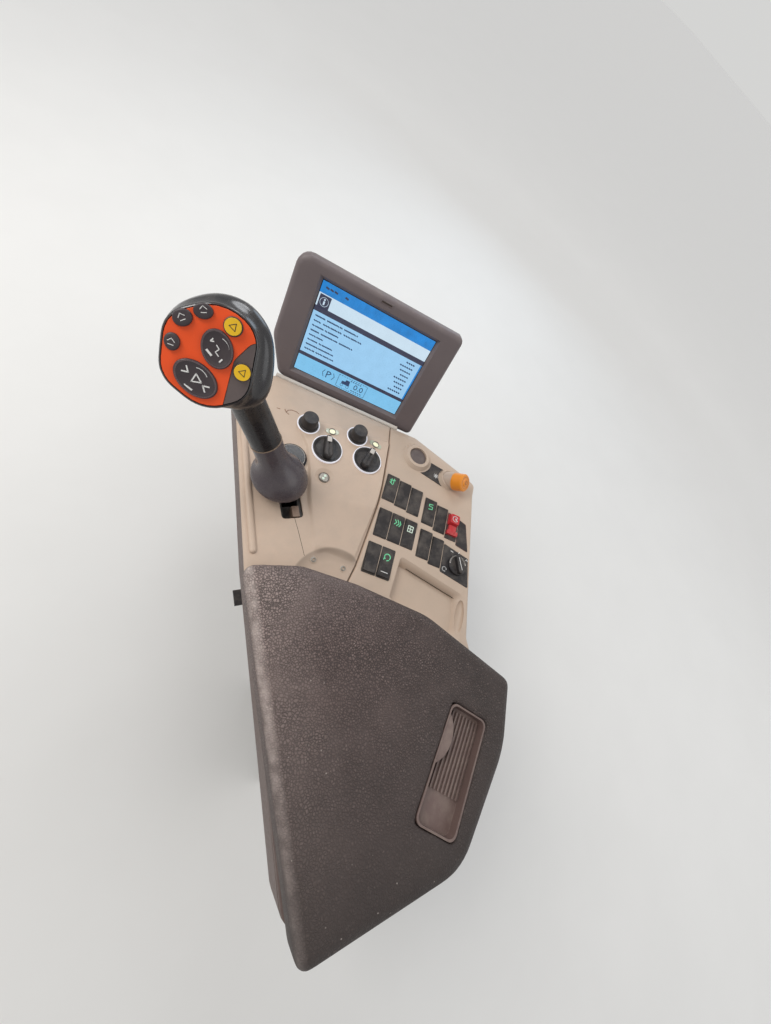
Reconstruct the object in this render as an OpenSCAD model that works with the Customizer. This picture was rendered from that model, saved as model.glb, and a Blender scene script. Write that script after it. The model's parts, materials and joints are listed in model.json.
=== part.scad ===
// Operator's armrest control console with a drive lever and a terminal monitor
// Millimetres, +X to the operator's right, +Y forward, +Z up

/* [Deck] */
// Thickness of the top panels
panel_t = 3; // [2:0.5:5]
// Depth of the deck below the top of the armrest pad
deck_drop = 55; // [50:1:70]
// Gap between neighbouring top panels
panel_gap = 1.2; // [0.8:0.1:2]
// Depth of the top panels' turned-down edges
skirt_h = 8; // [6:0.5:12]
// Rounding of the top panels' edges
edge_r = 3; // [2:0.5:4]
// How far the panels' front edge is rounded down
front_drop = 4.5; // [3:0.5:5]
// Height of the raised field under the knobs
field_h = 4.5; // [3:0.5:6]
// Height of the raised lip along the main panel's left edge
lip_h = 4; // [2:0.5:6]
// Width of that lip
lip_w = 8; // [6:0.5:10]

/* [Housing] */
// Height of the lower housing's upright wall
wall_h = 57; // [40:1:90]
// Height of the housing's drawn-in bottom part
belly_h = 36; // [20:1:60]
// How far the bottom is drawn in all round
belly_in = 22; // [12:1:34]
// Wall thickness of the lower housing
shell_t = 3.5; // [2.5:0.5:6]

/* [Armrest pad] */
// Thickness of the rigid pan under the pad
pan_t = 8; // [5:1:12]
// Rounding of the pad's upper edge
pad_round = 12; // [6:1:18]
// Length of the ribbed recess in the pad
recess_l = 118; // [90:1:125]
// Width of the ribbed recess
recess_w = 50; // [40:1:56]
// Depth of the ribbed recess
recess_d = 12; // [9:1:20]
// Number of ribs on the recess floor
rib_count = 9; // [5:1:11]

/* [Storage bin] */
// Depth of the bin under the pad
bin_d = 78; // [40:1:90]
// Wall thickness of the bin
bin_t = 2.5; // [2:0.5:4]

/* [Monitor] */
// Width of the lit screen
screen_w = 171; // [150:1:180]
// Height of the lit screen
screen_h = 128; // [110:1:136]
// Width of the monitor housing
monitor_w = 250; // [230:1:260]
// Height of the monitor housing
monitor_h = 172; // [162:1:180]
// Depth of the monitor housing
monitor_d = 44; // [34:1:60]
// Turn of the monitor towards the operator, in degrees
monitor_yaw = 26; // [20:1:30]
// Backward lean of the monitor, in degrees
monitor_lean = 21; // [16:1:24]

/* [Lever] */
// Height of the lever's pivot below the deck
pivot_drop = 55; // [45:1:62]
// Radius of the bell-shaped boot's rim
boot_r = 35; // [30:1:38]
// Radius of the stalk
stalk_r = 17.5; // [15:0.5:20]
// Thickness of the lever head's body
head_t = 34; // [26:1:40]
// Diameter of the lever's hinge pin
pin_d = 10; // [8:1:12]

/* [Switches] */
// Width of a rocker switch's frame
rocker_w = 20.4; // [18:0.2:20.6]
// Length of a rocker switch's frame
rocker_l = 45; // [41:0.5:45.5]
// Spacing of the rocker switches in a row
rocker_pitch = 21.3; // [21:0.1:21.8]
// Diameter of a selector knob's ring
selector_d = 44; // [38:1:46]
// Diameter of a small round knob
knob_d = 25; // [20:1:27]
// Diameter of the orange push button's cap
button_d = 28; // [24:1:30]
// Bore of the blanked socket's ring
socket_d = 30; // [24:1:34]

/* [Seat bracket] */
// Thickness of the bracket plate
plate_t = 8; // [6:1:10]
// Hole spacing along the seat
hole_dy = 110; // [90:5:130]
// Hole spacing upwards
hole_dz = 80; // [60:5:90]
// Diameter of the bracket's holes
hole_d = 11; // [9:0.5:13]
// Outer width of the square column
column_w = 60; // [50:1:70]
// Wall of the column
column_t = 4; // [3:0.5:6]
// Length of the fore-and-aft rails
rail_l = 280; // [240:5:320]

/* [Hidden] */

$fn = 48;
clear = 0.3; // clearance between pieces that are fitted into each other
arc_steps = 5; // straight steps in a rounded corner
deck_z = -deck_drop; // top face of the panels
field_z = deck_z + field_h; // top face of the raised field
panel_low = deck_z - panel_t; // underside of the panels
rim_z = deck_z - skirt_h; // top of the housing's walls
waist_z = rim_z - wall_h; // where the housing starts to draw in
floor_z = waist_z - belly_h; // underside of the housing
inner_z = floor_z + shell_t; // inner floor of the housing

// Middle of the seat bracket's hole pattern, seen from the pad's front left corner
mount_at = [30, -200, -300];

beige = [0.74, 0.66, 0.57];
brown = [0.27, 0.23, 0.21];
black = [0.06, 0.06, 0.065];
steel = [0.55, 0.56, 0.58];
orange = [0.93, 0.25, 0.05];
white = [0.9, 0.9, 0.88];

// Small geometry helpers
function unit(v) = v / norm(v);
function turn(a, b, c) = sign((b.x - a.x) * (c.y - b.y) - (b.y - a.y) * (c.x - b.x));
function point(c) = [c.x, c.y];
function before(path, i) = point(path[(i + len(path) - 1) % len(path)]);
function after(path, i) = point(path[(i + 1) % len(path)]);
function half_angle(a, b, c) = acos(max(-1, min(1, unit(a - b) * unit(c - b)))) / 2;
function bisector(a, b, c) = unit(unit(a - b) + unit(c - b));

// Points of one rounded corner between its two neighbours
function corner(a, b, c, r) =
    let (h = half_angle(a, b, c), m = b + bisector(a, b, c) * r / sin(h),
        s = b + unit(a - b) * r / tan(h) - m, e = b + unit(c - b) * r / tan(h) - m,
        a0 = atan2(s.y, s.x), d = atan2(e.y, e.x) - a0,
        sweep = d > 180 ? d - 360 : (d < -180 ? d + 360 : d))
    [for (k = [0 : arc_steps]) m + r * [cos(a0 + sweep * k / arc_steps), sin(a0 + sweep * k / arc_steps)]];

// A closed outline from rows of x, y and corner radius
function outline(path) =
    [for (i = [0 : len(path) - 1])
        for (p = corner(before(path, i), point(path[i]), after(path, i), path[i][2])) p];

// The same rows moved in by d, with the corner radii to suit
function inset(path, d) =
    [for (i = [0 : len(path) - 1])
        let (a = before(path, i), b = point(path[i]), c = after(path, i), t = turn(a, b, c),
            q = b + t * bisector(a, b, c) * d / sin(half_angle(a, b, c)))
        [q.x, q.y, max(path[i][2] - t * d, 1)]];

// The same rows moved in by d, as a closed row of points at height z
function ring_at(path, d, z) = [for (p = outline(inset(path, d))) [p.x, p.y, z]];

// A closed solid through rows of points, one above the other
module loft(rings) {
    n = len(rings[0]);
    last = len(rings) - 1;
    sides = [for (k = [0 : last - 1], i = [0 : n - 1])
        let (a = k * n + i, b = k * n + (i + 1) % n)
        each [[a, a + n, b + n], [a, b + n, b]]];
    polyhedron([for (ring = rings) each ring],
        concat([[for (i = [0 : n - 1]) i]], sides, [[for (i = [n - 1 : -1 : 0]) last * n + i]]));
}

// A block with upright sides from low to high and a rounded upper edge
round_steps = 3;
module moulded(path, low, high, r) {
    loft(concat([ring_at(path, 0, low)],
        [for (k = [0 : round_steps])
            let (a = 90 * k / round_steps) ring_at(path, r * (1 - cos(a)), high - r * (1 - sin(a)))]));
}

// A top panel: rounded edge, turned-down skirt, open below
module cover(path) {
    difference() {
        moulded(inset(path, panel_gap / 2), rim_z - 2, deck_z, edge_r);
        slab(inset(path, panel_gap / 2 + panel_t), rim_z - 3, panel_low - rim_z + 3);
        box([min([for (p = path) p.x]) - 5, min([for (p = path) p.y]) - 5, rim_z - 6],
            [max([for (p = path) p.x]) + 5, max([for (p = path) p.y]) + 5, rim_z]);
    }
}

module slab(path, z, t) {
    translate([0, 0, z]) linear_extrude(t) polygon(outline(path));
}

module box(low, high) {
    translate(low) cube(high - low);
}

// A box with rounded upright edges, centred on x and y
module tile(w, l, t, r) {
    linear_extrude(t) polygon(outline([[-w / 2, -l / 2, r], [w / 2, -l / 2, r], [w / 2, l / 2, r], [-w / 2, l / 2, r]]));
}

// Outlines of the console seen from above: x, y, corner radius
console_plan = [[-2, -330, 22], [158, -330, 34], [288, -186, 16], [284, -128, 12], [376, 82, 24],
    [388, 102, 10], [366, 130, 14], [298, 195, 40], [86, 296, 26], [24, 300, 22], [6, 24, 60]];
pad_plan = [[0, -331, 10], [165, -331, 60], [256, -252, 120], [294, -186, 12], [202, -86, 90],
    [120, -33, 60], [60, -2, 40], [-3, 9, 12]];

// Line between the main panel and the switch panel, and the turn of the switch rows
seam_rear = [142, -4];
seam_middle = [204, 92];
seam_front = [242, 181];
row_turn = -29;

// Corners that the three top panels share
front_seam = [254, 214];
rear_left = [4, 4];
rear_seam = [118, -33];
rear_right = [282, -176];

main_plan = [[rear_left.x, rear_left.y, 4], [60, -8, 30], [rear_seam.x, rear_seam.y, 4],
    [seam_rear.x, seam_rear.y, 14], [seam_middle.x, seam_middle.y, 300], [seam_front.x, seam_front.y, 60],
    [front_seam.x, front_seam.y, 4], [86, 296, 26], [24, 300, 22]];
switch_plan = [[rear_seam.x, rear_seam.y, 4], [202, -94, 60], [rear_right.x, rear_right.y, 6], [284, -128, 12],
    [376, 82, 24], [388, 102, 10], [366, 130, 14], [298, 195, 40], [front_seam.x, front_seam.y, 4],
    [seam_front.x, seam_front.y, 60], [seam_middle.x, seam_middle.y, 300], [seam_rear.x, seam_rear.y, 14]];
bin_plan = [[-2, -330, 22], [158, -330, 34], [288, -186, 5], [rear_right.x, rear_right.y, 2],
    [202, -94, 60], [rear_seam.x, rear_seam.y, 4], [60, -8, 30], [rear_left.x, rear_left.y, 4]];
bin_mouth = [[22, -300, 14], [138, -296, 24], [206, -214, 14], [206, -150, 14], [112, -76, 20], [24, -50, 14]];

// Seat bracket

plate_x = mount_at.x; // outer face of the plate
plate_w = hole_dy + 44;
plate_h = hole_dz + 40;
column_x0 = plate_x + plate_t;
column_y = mount_at.y;
column_top = floor_z - 62;
column_low = mount_at.z - plate_h / 2;
column_mid = column_x0 + column_w / 2;
slide_clear = 0.5; // running clearance of the inner tube
gusset_t = 5;
inner_w = column_w - 2 * column_t - 2 * slide_clear;

module seat_plate() {
    color(steel) difference() {
        union() {
            box([plate_x, column_y - plate_w / 2, column_low], [plate_x + plate_t, column_y + plate_w / 2, column_low + plate_h]);
            for (y = [column_y - column_w / 2 - gusset_t, column_y + column_w / 2])
                translate([plate_x + plate_t, y + gusset_t, mount_at.z - plate_h * 0.4]) rotate([90, 0, 0]) gusset();
        }
        for (y = [-1, 1], z = [-1, 1])
            translate([plate_x - 1, mount_at.y + y * hole_dy / 2, mount_at.z + z * hole_dz / 2])
                rotate([0, 90, 0]) cylinder(d = hole_d, h = plate_t + 2);
    }
}

// Stiffening rib that holds the column's side
module gusset() {
    linear_extrude(gusset_t) polygon([[0, 0], [column_w * 0.7, plate_h * 0.2], [column_w * 0.7, plate_h * 0.6], [0, plate_h * 0.8]]);
}

module column() {
    color(black) difference() {
        box([column_x0, column_y - column_w / 2, column_low], [column_x0 + column_w, column_y + column_w / 2, column_top]);
        box([column_x0 + column_t, column_y - column_w / 2 + column_t, column_low - 1],
            [column_x0 + column_w - column_t, column_y + column_w / 2 - column_t, column_top + 1]);
    }
}

knob_lobes = 5;
module height_knob() {
    color(black) translate([column_x0 + column_w, column_y, column_top - 45]) rotate([0, 90, 0]) {
        cylinder(r = 9, h = 12);
        translate([0, 0, 12]) difference() {
            cylinder(r = 22, h = 16);
            for (k = [0 : knob_lobes - 1]) rotate([0, 0, k * 360 / knob_lobes]) translate([25, 0, -1]) cylinder(r = 9, h = 18);
        }
    }
}

// Height slider and rails

rail_z = floor_z - 30; // underside of the rails
rail_h = 12;
rail_w = 26;
rail_x = [52, 176]; // middle of each rail
rail_y0 = column_y - 40;
yoke_t = 6;
slider_low = column_low + 20;

module slider() {
    color(steel) {
        difference() {
            box([column_mid - inner_w / 2, column_y - inner_w / 2, slider_low],
                [column_mid + inner_w / 2, column_y + inner_w / 2, rail_z - yoke_t]);
            box([column_mid - inner_w / 2 + 3, column_y - inner_w / 2 + 3, slider_low - 1],
                [column_mid + inner_w / 2 - 3, column_y + inner_w / 2 - 3, rail_z - yoke_t - 3]);
        }
        for (y = [column_y - 22, column_y + rail_l - 110])
            box([rail_x[0] - 20, y, rail_z - yoke_t], [rail_x[1] + 20, y + 44, rail_z]);
        box([column_mid - 18, column_y, rail_z - yoke_t], [column_mid + 18, column_y + rail_l - 90, rail_z]);
    }
}

module rail(x) {
    color(steel) difference() {
        box([x - rail_w / 2, rail_y0, rail_z], [x + rail_w / 2, rail_y0 + rail_l, rail_z + rail_h]);
        box([x - rail_w / 2 + 3, rail_y0 - 1, rail_z + 3], [x + rail_w / 2 - 3, rail_y0 + rail_l + 1, rail_z + rail_h - 2.5]);
        box([x - 6, rail_y0 - 1, rail_z + 3], [x + 6, rail_y0 + rail_l + 1, rail_z + rail_h + 1]);
    }
}

module rail_left() { rail(rail_x[0]); }
module rail_right() { rail(rail_x[1]); }

module slide_latch() {
    color(black) {
        box([rail_x[0] - rail_w / 2 - 8, rail_y0 + rail_l - 70, rail_z], [rail_x[0] - rail_w / 2, rail_y0 + rail_l - 20, rail_z + 8]);
        box([rail_x[0] - rail_w / 2 - 38, rail_y0 + rail_l - 50, rail_z + 1], [rail_x[0] - rail_w / 2 - 8, rail_y0 + rail_l - 28, rail_z + 6]);
    }
}

runner_l = 190;
runner_clear = 0.5;
foot_z = rail_z + 3 + clear; // underside of the runner's feet, inside the rail
module runner(x) {
    y0 = rail_y0 + (rail_l - runner_l) / 2;
    color(steel) {
        box([x - rail_w / 2, y0, rail_z + rail_h + 4], [x + rail_w / 2, y0 + runner_l, floor_z]);
        for (y = [y0 + 6, y0 + runner_l - 36]) {
            box([x - 6 + runner_clear, y, foot_z], [x + 6 - runner_clear, y + 30, rail_z + rail_h + 4]);
            box([x - rail_w / 2 + 3 + runner_clear, y, foot_z], [x + rail_w / 2 - 3 - runner_clear, y + 30, foot_z + 3]);
        }
    }
}

module runner_left() { runner(rail_x[0]); }
module runner_right() { runner(rail_x[1]); }

// Lower housing

module shell() {
    color(brown) difference() {
        union() {
            slab(console_plan, waist_z, wall_h);
            hull() {
                slab(console_plan, waist_z - 0.5, 0.5);
                slab(inset(console_plan, belly_in), floor_z, 0.5);
            }
        }
        slab(inset(console_plan, shell_t), waist_z, wall_h + 1);
        hull() {
            slab(inset(console_plan, shell_t), waist_z - 0.5, 1);
            slab(inset(console_plan, belly_in + shell_t), inner_z, 0.5);
        }
        translate([gland_at.x, gland_at.y, floor_z - 1]) cylinder(r = gland_r + clear, h = shell_t + 3);
    }
}

gland_at = [230, -20];
gland_r = 20;
gland_bore = 32;
module harness_gland() {
    color(black) translate([gland_at.x, gland_at.y, 0]) difference() {
        union() {
            translate([0, 0, floor_z - 18]) cylinder(r = gland_r, h = 18 + shell_t + 4);
            translate([0, 0, floor_z - 5]) cylinder(r = gland_r + 5, h = 5);
        }
        translate([0, 0, floor_z - 19]) cylinder(d = gland_bore, h = shell_t + 25);
    }
}

// Storage bin with the flange that the pad rests over

module bin() {
    color(brown) difference() {
        union() {
            cover(bin_plan);
            slab(inset(bin_mouth, -bin_t), panel_low - bin_d, bin_d + panel_t / 2);
        }
        slab(bin_mouth, panel_low - bin_d + bin_t, bin_d + panel_t + 1);
    }
}

// Main panel

slot_w = 28; // gate slot across
slot_y = [70, 142]; // gate slot, rear and front end
slot_x = 71;
dimple_at = [122.6, 125.1];
dimple_r = 13.5;
dimple_d = 3.5; // depth of the finger dish
front_w = 18; // width of the rounded front edge
front_left = [86, 296];
front_right = [298, 195];
side_front = [366, 130];
front_turn = atan2(front_right.y - front_left.y, front_right.x - front_left.x);

// Foot and top of the raised field's soft slope: x, y, corner radius
field_foot = [[86, 16, 8], [104, 19, 15], [140, -2, 4], [202.5, 92, 300], [240.5, 180, 3], [241.5, 187, 2],
    [114, 228, 8], [97, 208, 14], [104, 176, 20], [102, 140, 20], [93, 100, 60]];
field_top = [[96, 27, 6], [110, 28, 20], [142, 11, 5], [200.5, 93, 300], [237.5, 177, 3], [238.5, 182, 1],
    [118, 221, 8], [103, 206, 12], [111, 176, 20], [107, 140, 20], [100, 100, 60]];
slope_steps = 5;

module main_panel() {
    dish_r = (pow(dimple_r, 2) + pow(dimple_d, 2)) / (2 * dimple_d);
    color(beige) difference() {
        union() {
            cover(main_plan);
            left_lip();
            raised_field();
        }
        translate([slot_x, (slot_y[0] + slot_y[1]) / 2, panel_low - 1])
            tile(slot_w, slot_y[1] - slot_y[0], panel_t + field_h + 2, 5);
        translate([dimple_at.x, dimple_at.y, field_z + dish_r - dimple_d]) sphere(r = dish_r);
        for (s = stem_holes) translate([s.x, s.y, panel_low - 1])
            cylinder(r = s.z + clear, h = panel_t + field_h + 2);
        front_round(front_left, front_right);
    }
}

// Raised lip along the left edge, a bar with a rounded top
module left_lip() {
    hull() for (p = [[13, 34], [26, 284]]) translate([p.x + lip_w / 2, p.y, deck_z - 0.5]) {
        cylinder(d = lip_w, h = lip_h / 2 + 0.5, $fn = 24);
        cylinder(d = lip_w - 3, h = lip_h, $fn = 24);
        cylinder(d = lip_w / 3, h = lip_h + 0.5, $fn = 24);
    }
}

// Field under the knobs, raised on a soft S-shaped slope
module raised_field() {
    foot = outline(field_foot);
    top = outline(field_top);
    sunk = 0.3;
    loft(concat([[for (p = foot) [p.x, p.y, deck_z - 1.5]]],
        [for (k = [0 : slope_steps])
            let (t = k / slope_steps, z = deck_z - sunk + (field_h + sunk) * t * t * (3 - 2 * t))
            [for (i = [0 : len(foot) - 1]) let (p = lerp(foot[i], top[i], t)) [p.x, p.y, z]]]));
}

// What a large rounding takes off the panels along the front edge from a to b
module front_round(a, b) {
    run = norm(b - a);
    round_r = (pow(front_w, 2) + pow(front_drop, 2)) / (2 * front_drop);
    translate([a.x, a.y, deck_z]) rotate([0, 0, atan2(b.y - a.y, b.x - a.x)]) difference() {
        translate([-90, -front_w, -skirt_h + 0.5]) cube([run + 100, front_w + 30, skirt_h + 10]);
        translate([-91, -front_w, -round_r]) rotate([0, 90, 0]) cylinder(r = round_r, h = run + 102, $fn = 96);
    }
}

// Switch panel with the oddments tray moulded into it

switch_at = [142, -12];
tray_plan = [[51.5, -18, 5], [172, -46, 6], [166, 25, 8], [55.4, 47, 5]];
tray_floor = [[54, -14, 4], [158, -38, 10], [154, 17, 10], [58, 35, 4]];
tray_d = 12;
tray_t = 2.5;
scoop_at = [163, -8];

module in_rows() {
    translate([switch_at.x, switch_at.y, 0]) rotate([0, 0, row_turn]) children();
}

// Rows of switches: x and y of the first switch's middle, count, step back from one to the next
front_row = [15.5, 142, 3, 2.4];
middle_row = [17.3, 82, 3, 0];
rear_row = [14.6, 26.2, 2, 0];
right_front_row = [85.3, 131.4, 2, 4.2];
right_rear_row = [87.4, 76.4, 2, 4];

// Middle of a row's switch number k, counted from 0
function place(row, k) = [row[0] + k * rocker_pitch, row[1] - k * row[3]];

module along(row) {
    for (k = [0 : row[2] - 1]) in_rows() translate([place(row, k).x, place(row, k).y, 0]) children();
}

all_rows = [front_row, middle_row, rear_row, right_front_row, right_rear_row];
well_d = 1.6; // depth of the wells that the switches' frames lie in
frame_t = 2.1;
well_z = deck_z - well_d;

module switch_panel() {
    color(beige) difference() {
        union() {
            cover(switch_plan);
            in_rows() slab(inset(tray_plan, -tray_t), deck_z - tray_d - tray_t, tray_d + tray_t - 1);
            ring_boss(socket_at, socket_d / 2 + 11, socket_d / 2 + 5);
            ring_boss(button_at, collar_r + 4.5, collar_r + 1.5);
        }
        in_rows() loft([for (k = [0 : slope_steps])
            let (t = k / slope_steps, z = deck_z - tray_d * pow(1 - t, 2))
            tray_ring(t, k == slope_steps ? deck_z + 1 : z)]);
        in_rows() translate([scoop_at.x, scoop_at.y, deck_z - 1]) scale([7, 24, 7]) sphere(r = 1, $fn = 20);
        for (row = all_rows) along(row) {
            translate([0, 0, well_z]) tile(rocker_w + 2 * clear, rocker_l + 2 * clear, well_d + 1, 1.5);
            translate([0, 0, rim_z - 1]) tile(rocker_w - 3 + 2 * clear, rocker_l - 4 + 2 * clear, skirt_h + 2, 1);
        }
        in_rows() for (plan = [guard_plan, blank_plan, rotary_plan]) slab(inset(plan, -clear), well_z, well_d + 1);
        translate([socket_at.x, socket_at.y, deck_z]) {
            translate([0, 0, socket_low]) cylinder(d = socket_d, h = boss_h + 10);
            translate([0, 0, -panel_t - 1]) cylinder(r = socket_stem + clear, h = panel_t + 5);
        }
        in_button() translate([0, 0, -20]) cylinder(r = collar_r + clear, h = 50);
        front_round(front_left, front_right);
        front_round(front_right, side_front);
    }
}

// The tray's outline on its way from the floor, at 0, to the rim, at 1
function tray_ring(t, z) = let (low = outline(tray_floor), high = outline(tray_plan))
    [for (i = [0 : len(low) - 1]) let (p = lerp(low[i], high[i], t)) [p.x, p.y, z]];

// Conical ring moulded on the panel
boss_h = 6;
module ring_boss(at, low_r, high_r) {
    translate([at.x, at.y, panel_low]) cylinder(r1 = low_r + 1, r2 = high_r, h = boss_h + panel_t);
}

// One rocker switch: frame, tipped rocker and the body under the panel
module rocker(tip) {
    translate([0, 0, well_z]) tile(rocker_w, rocker_l, frame_t, 1.5);
    translate([0, 0, well_z + frame_t - 0.4]) rotate([90, 0, 90]) translate([0, 0, -(rocker_w - 3) / 2])
        linear_extrude(rocker_w - 3)
            polygon([[-rocker_l / 2 + 2, 0], [rocker_l / 2 - 2, 0], [rocker_l / 2 - 2, 2.2 + tip], [0, 1.4],
                [-rocker_l / 2 + 2, 2.2 - tip]]);
    translate([0, 0, panel_low - 22]) tile(rocker_w - 3, rocker_l - 4, 22 + panel_t - well_d + 0.5, 1);
}

module rockers_front() { color(black) along(front_row) rocker(1.2); }
module rockers_middle() { color(black) along(middle_row) rocker(1.2); }
module rockers_rear() { color(black) along(rear_row) rocker(-1.2); }
module rockers_right_front() { color(black) along(right_front_row) rocker(1.2); }
module rockers_right_rear() { color(black) along(right_rear_row) rocker(1.2); }

// Plates that follow on after a row, up to a slanted right edge: x at the front and rear end
function plate_plan(row, first, count, front_x, rear_x) =
    let (a = place(row, first), x = a.x - rocker_w / 2 + (rocker_pitch - rocker_w) / 2)
    [[x, a.y - rocker_l / 2, 1.5], [rear_x, a.y - rocker_l / 2 - row[3] * count, 1.5],
        [front_x, a.y + rocker_l / 2 - row[3] * count, 1.5], [x, a.y + rocker_l / 2, 1.5]];
guard_plan = plate_plan(right_front_row, 2, 0, place(right_front_row, 2).x + rocker_w / 2,
    place(right_front_row, 2).x + rocker_w / 2);
blank_plan = plate_plan(right_front_row, 3, 0.9, 152.5, 162);
rotary_plan = plate_plan(right_rear_row, 2, 2.2, 164.4, 170);

// Red guarded switch and the blank beside it
guard_at = place(right_front_row, 2);
module guard_cover() {
    color(black) in_rows() {
        slab(guard_plan, well_z, frame_t);
        slab(blank_plan, well_z, frame_t);
    }
    color("firebrick") in_rows() translate([guard_at.x, guard_at.y, well_z + frame_t]) {
        hull() {
            translate([0, 11, 0]) tile(17, 19, 1, 2);
            translate([0, 11, 7]) tile(15, 15, 1, 2);
        }
        translate([0, -7, 0]) tile(13, 16, 3.5, 1.5);
        for (side = [-1, 1]) translate([side * 6.5, -12, 0]) tile(5, 7, 5, 1);
    }
}

rotary_at = [146, 64.5];
rotary_r = 16;
module rotary_switch() {
    color(black) in_rows() {
        slab(rotary_plan, well_z, frame_t);
        translate([rotary_at.x, rotary_at.y, well_z + 1]) {
            cylinder(r1 = rotary_r, r2 = rotary_r - 0.8, h = 5);
            rotate([0, 0, 24]) translate([0, 0, 2]) hull() {
                translate([0, -10, 0]) cylinder(r = 4.5, h = 9, $fn = 24);
                translate([0, 10, 0]) cylinder(r = 3.5, h = 9, $fn = 24);
                translate([0, -9, 0]) cylinder(r = 3, h = 10.5, $fn = 24);
                translate([0, 9, 0]) cylinder(r = 2.5, h = 10.5, $fn = 24);
            }
        }
    }
}

// Blanked socket, push button and the label plate between them
socket_at = [286.3, 156.2];
socket_low = 1; // floor of the socket's ring above the deck
socket_stem = 10;
button_at = [335, 113];
collar_r = 14.5;
button_tip = 37.5; // lean of the push button, towards the operator's right hand
button_turn = -58.4;
collar_l = 13;
cap_l = 19;

module in_button() {
    translate([button_at.x, button_at.y, deck_z]) rotate([0, 0, button_turn]) rotate([0, button_tip, 0]) children();
}

module ring_socket() {
    color("dimgray") translate([socket_at.x, socket_at.y, deck_z]) {
        translate([0, 0, -panel_t - 12]) cylinder(r = socket_stem, h = panel_t + 12 + socket_low);
        translate([0, 0, socket_low]) cylinder(d = socket_d - 2 * clear, h = 2);
    }
}

// Plate between the two rings, in the rows' frame, cut back round both
label_plan = [[51.9, 193.6, 1], [100.7, 185.7, 1], [97, 217.5, 1], [70.5, 219.8, 1]];
module label_plate() {
    color(black) difference() {
        in_rows() slab(label_plan, deck_z, 1);
        translate([socket_at.x, socket_at.y, deck_z - 1]) cylinder(r = socket_d / 2 + 12, h = 4);
        translate([button_at.x, button_at.y, deck_z - 1]) cylinder(r = collar_r + 5.5, h = 4);
    }
}

module push_collar() {
    color(steel) in_button() difference() {
        translate([0, 0, -14]) cylinder(r = collar_r, h = 14 + collar_l);
        translate([0, 0, collar_l - 5]) cylinder(r = button_d / 2 - 1 + clear, h = 6);
    }
}

module push_button() {
    color(orange) in_button() {
        translate([0, 0, collar_l - 5]) cylinder(r = button_d / 2 - 1, h = 7);
        translate([0, 0, collar_l + clear]) {
            cylinder(d1 = button_d + 1, d2 = button_d, h = cap_l - 2);
            translate([0, 0, cap_l - 2]) cylinder(d1 = button_d, d2 = button_d - 4, h = 2);
            translate([0, 0, cap_l - 1]) cylinder(r1 = 7, r2 = 6, h = 2);
        }
    }
}

// Round pieces on the main panel, with the holes for their stems: x, y, radius
dial_r = 20;
knob_left_at = [115, 209.4];
knob_right_at = [187, 190.5];
selector_left_at = [134.4, 167.5];
selector_right_at = [193, 149.5];
dial_at = [83, 158];
finger_r = 7.5; // round button in the finger dish
stem_holes = [[knob_left_at.x, knob_left_at.y, 4], [knob_right_at.x, knob_right_at.y, 4],
    [selector_left_at.x, selector_left_at.y, 5], [selector_right_at.x, selector_right_at.y, 5],
    [dial_at.x, dial_at.y, 6], [dimple_at.x, dimple_at.y, finger_r]];

module stem(at, r, top) {
    translate([at.x, at.y, panel_low - 14]) cylinder(r = r, h = 14 + panel_t + top - deck_z);
}

module small_knob(at) {
    stem(at, 4, field_z);
    translate([at.x, at.y, field_z]) {
        cylinder(r1 = knob_d / 2 + 2.5, r2 = knob_d / 2 + 1.5, h = 2);
        translate([0, 0, 2]) cylinder(d1 = knob_d, d2 = knob_d - 3, h = 14);
        translate([0, 0, 16]) cylinder(d1 = knob_d - 3, d2 = knob_d - 5, h = 1.2);
    }
}

module knob_left() { color(black) small_knob(knob_left_at); }
module knob_right() { color(black) small_knob(knob_right_at); }

// Selector: dished ring with a grooved bar across it
bar_l = 34;
bar_h = 13;
module selector(at, points_to) {
    stem(at, 5, field_z);
    translate([at.x, at.y, field_z]) {
        difference() {
            cylinder(d1 = selector_d, d2 = selector_d - 2, h = 3);
            translate([0, 0, 1.2]) cylinder(d1 = selector_d - 12, d2 = selector_d - 4, h = 2);
        }
        rotate([0, 0, points_to]) difference() {
            hull() {
                translate([0, -bar_l / 2 + 6, 0]) cylinder(r = 6.5, h = bar_h - 1.5, $fn = 24);
                translate([0, bar_l / 2 - 4, 0]) cylinder(r = 5, h = bar_h - 1.5, $fn = 24);
                translate([0, -bar_l / 2 + 6, 0]) cylinder(r = 5, h = bar_h, $fn = 24);
                translate([0, bar_l / 2 - 4, 0]) cylinder(r = 3.5, h = bar_h, $fn = 24);
            }
            translate([-1.25, -bar_l / 2, bar_h - 1.5]) cube([2.5, bar_l - 12, 3]);
        }
    }
}

module selector_left() { color(black) selector(selector_left_at, -14); }
module selector_right() { color(black) selector(selector_right_at, -38); }

module dial() {
    color(black) {
        stem(dial_at, 6, deck_z);
        translate([dial_at.x, dial_at.y, deck_z]) {
            cylinder(r = dial_r, h = 3);
            translate([0, 0, 3]) cylinder(r1 = dial_r, r2 = dial_r - 3, h = 1.5);
        }
    }
}

module dimple_button() {
    color(steel) translate([dimple_at.x, dimple_at.y, 0]) {
        translate([0, 0, panel_low - 8]) cylinder(r = finger_r, h = 8 + panel_t + field_h - 1.5);
        translate([0, 0, field_z - 1.5]) cylinder(r1 = finger_r, r2 = finger_r - 1.5, h = 1);
    }
}

lamp_spots = [[148.6, 197.5, -12], [214.5, 176.5, -38]];
module lamp_windows() {
    color(white) for (p = lamp_spots) translate([p.x, p.y, field_z]) rotate([0, 0, p.z]) tile(20, 8, 0.8, 3.9);
}

// Lever gate below the main panel

pivot = [slot_x - 1, 120, deck_z - pivot_drop];
shank_w = 14;
cheek_t = 5;
cheek_x = shank_w / 2 + 6;
cheek_r = 13;

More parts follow.
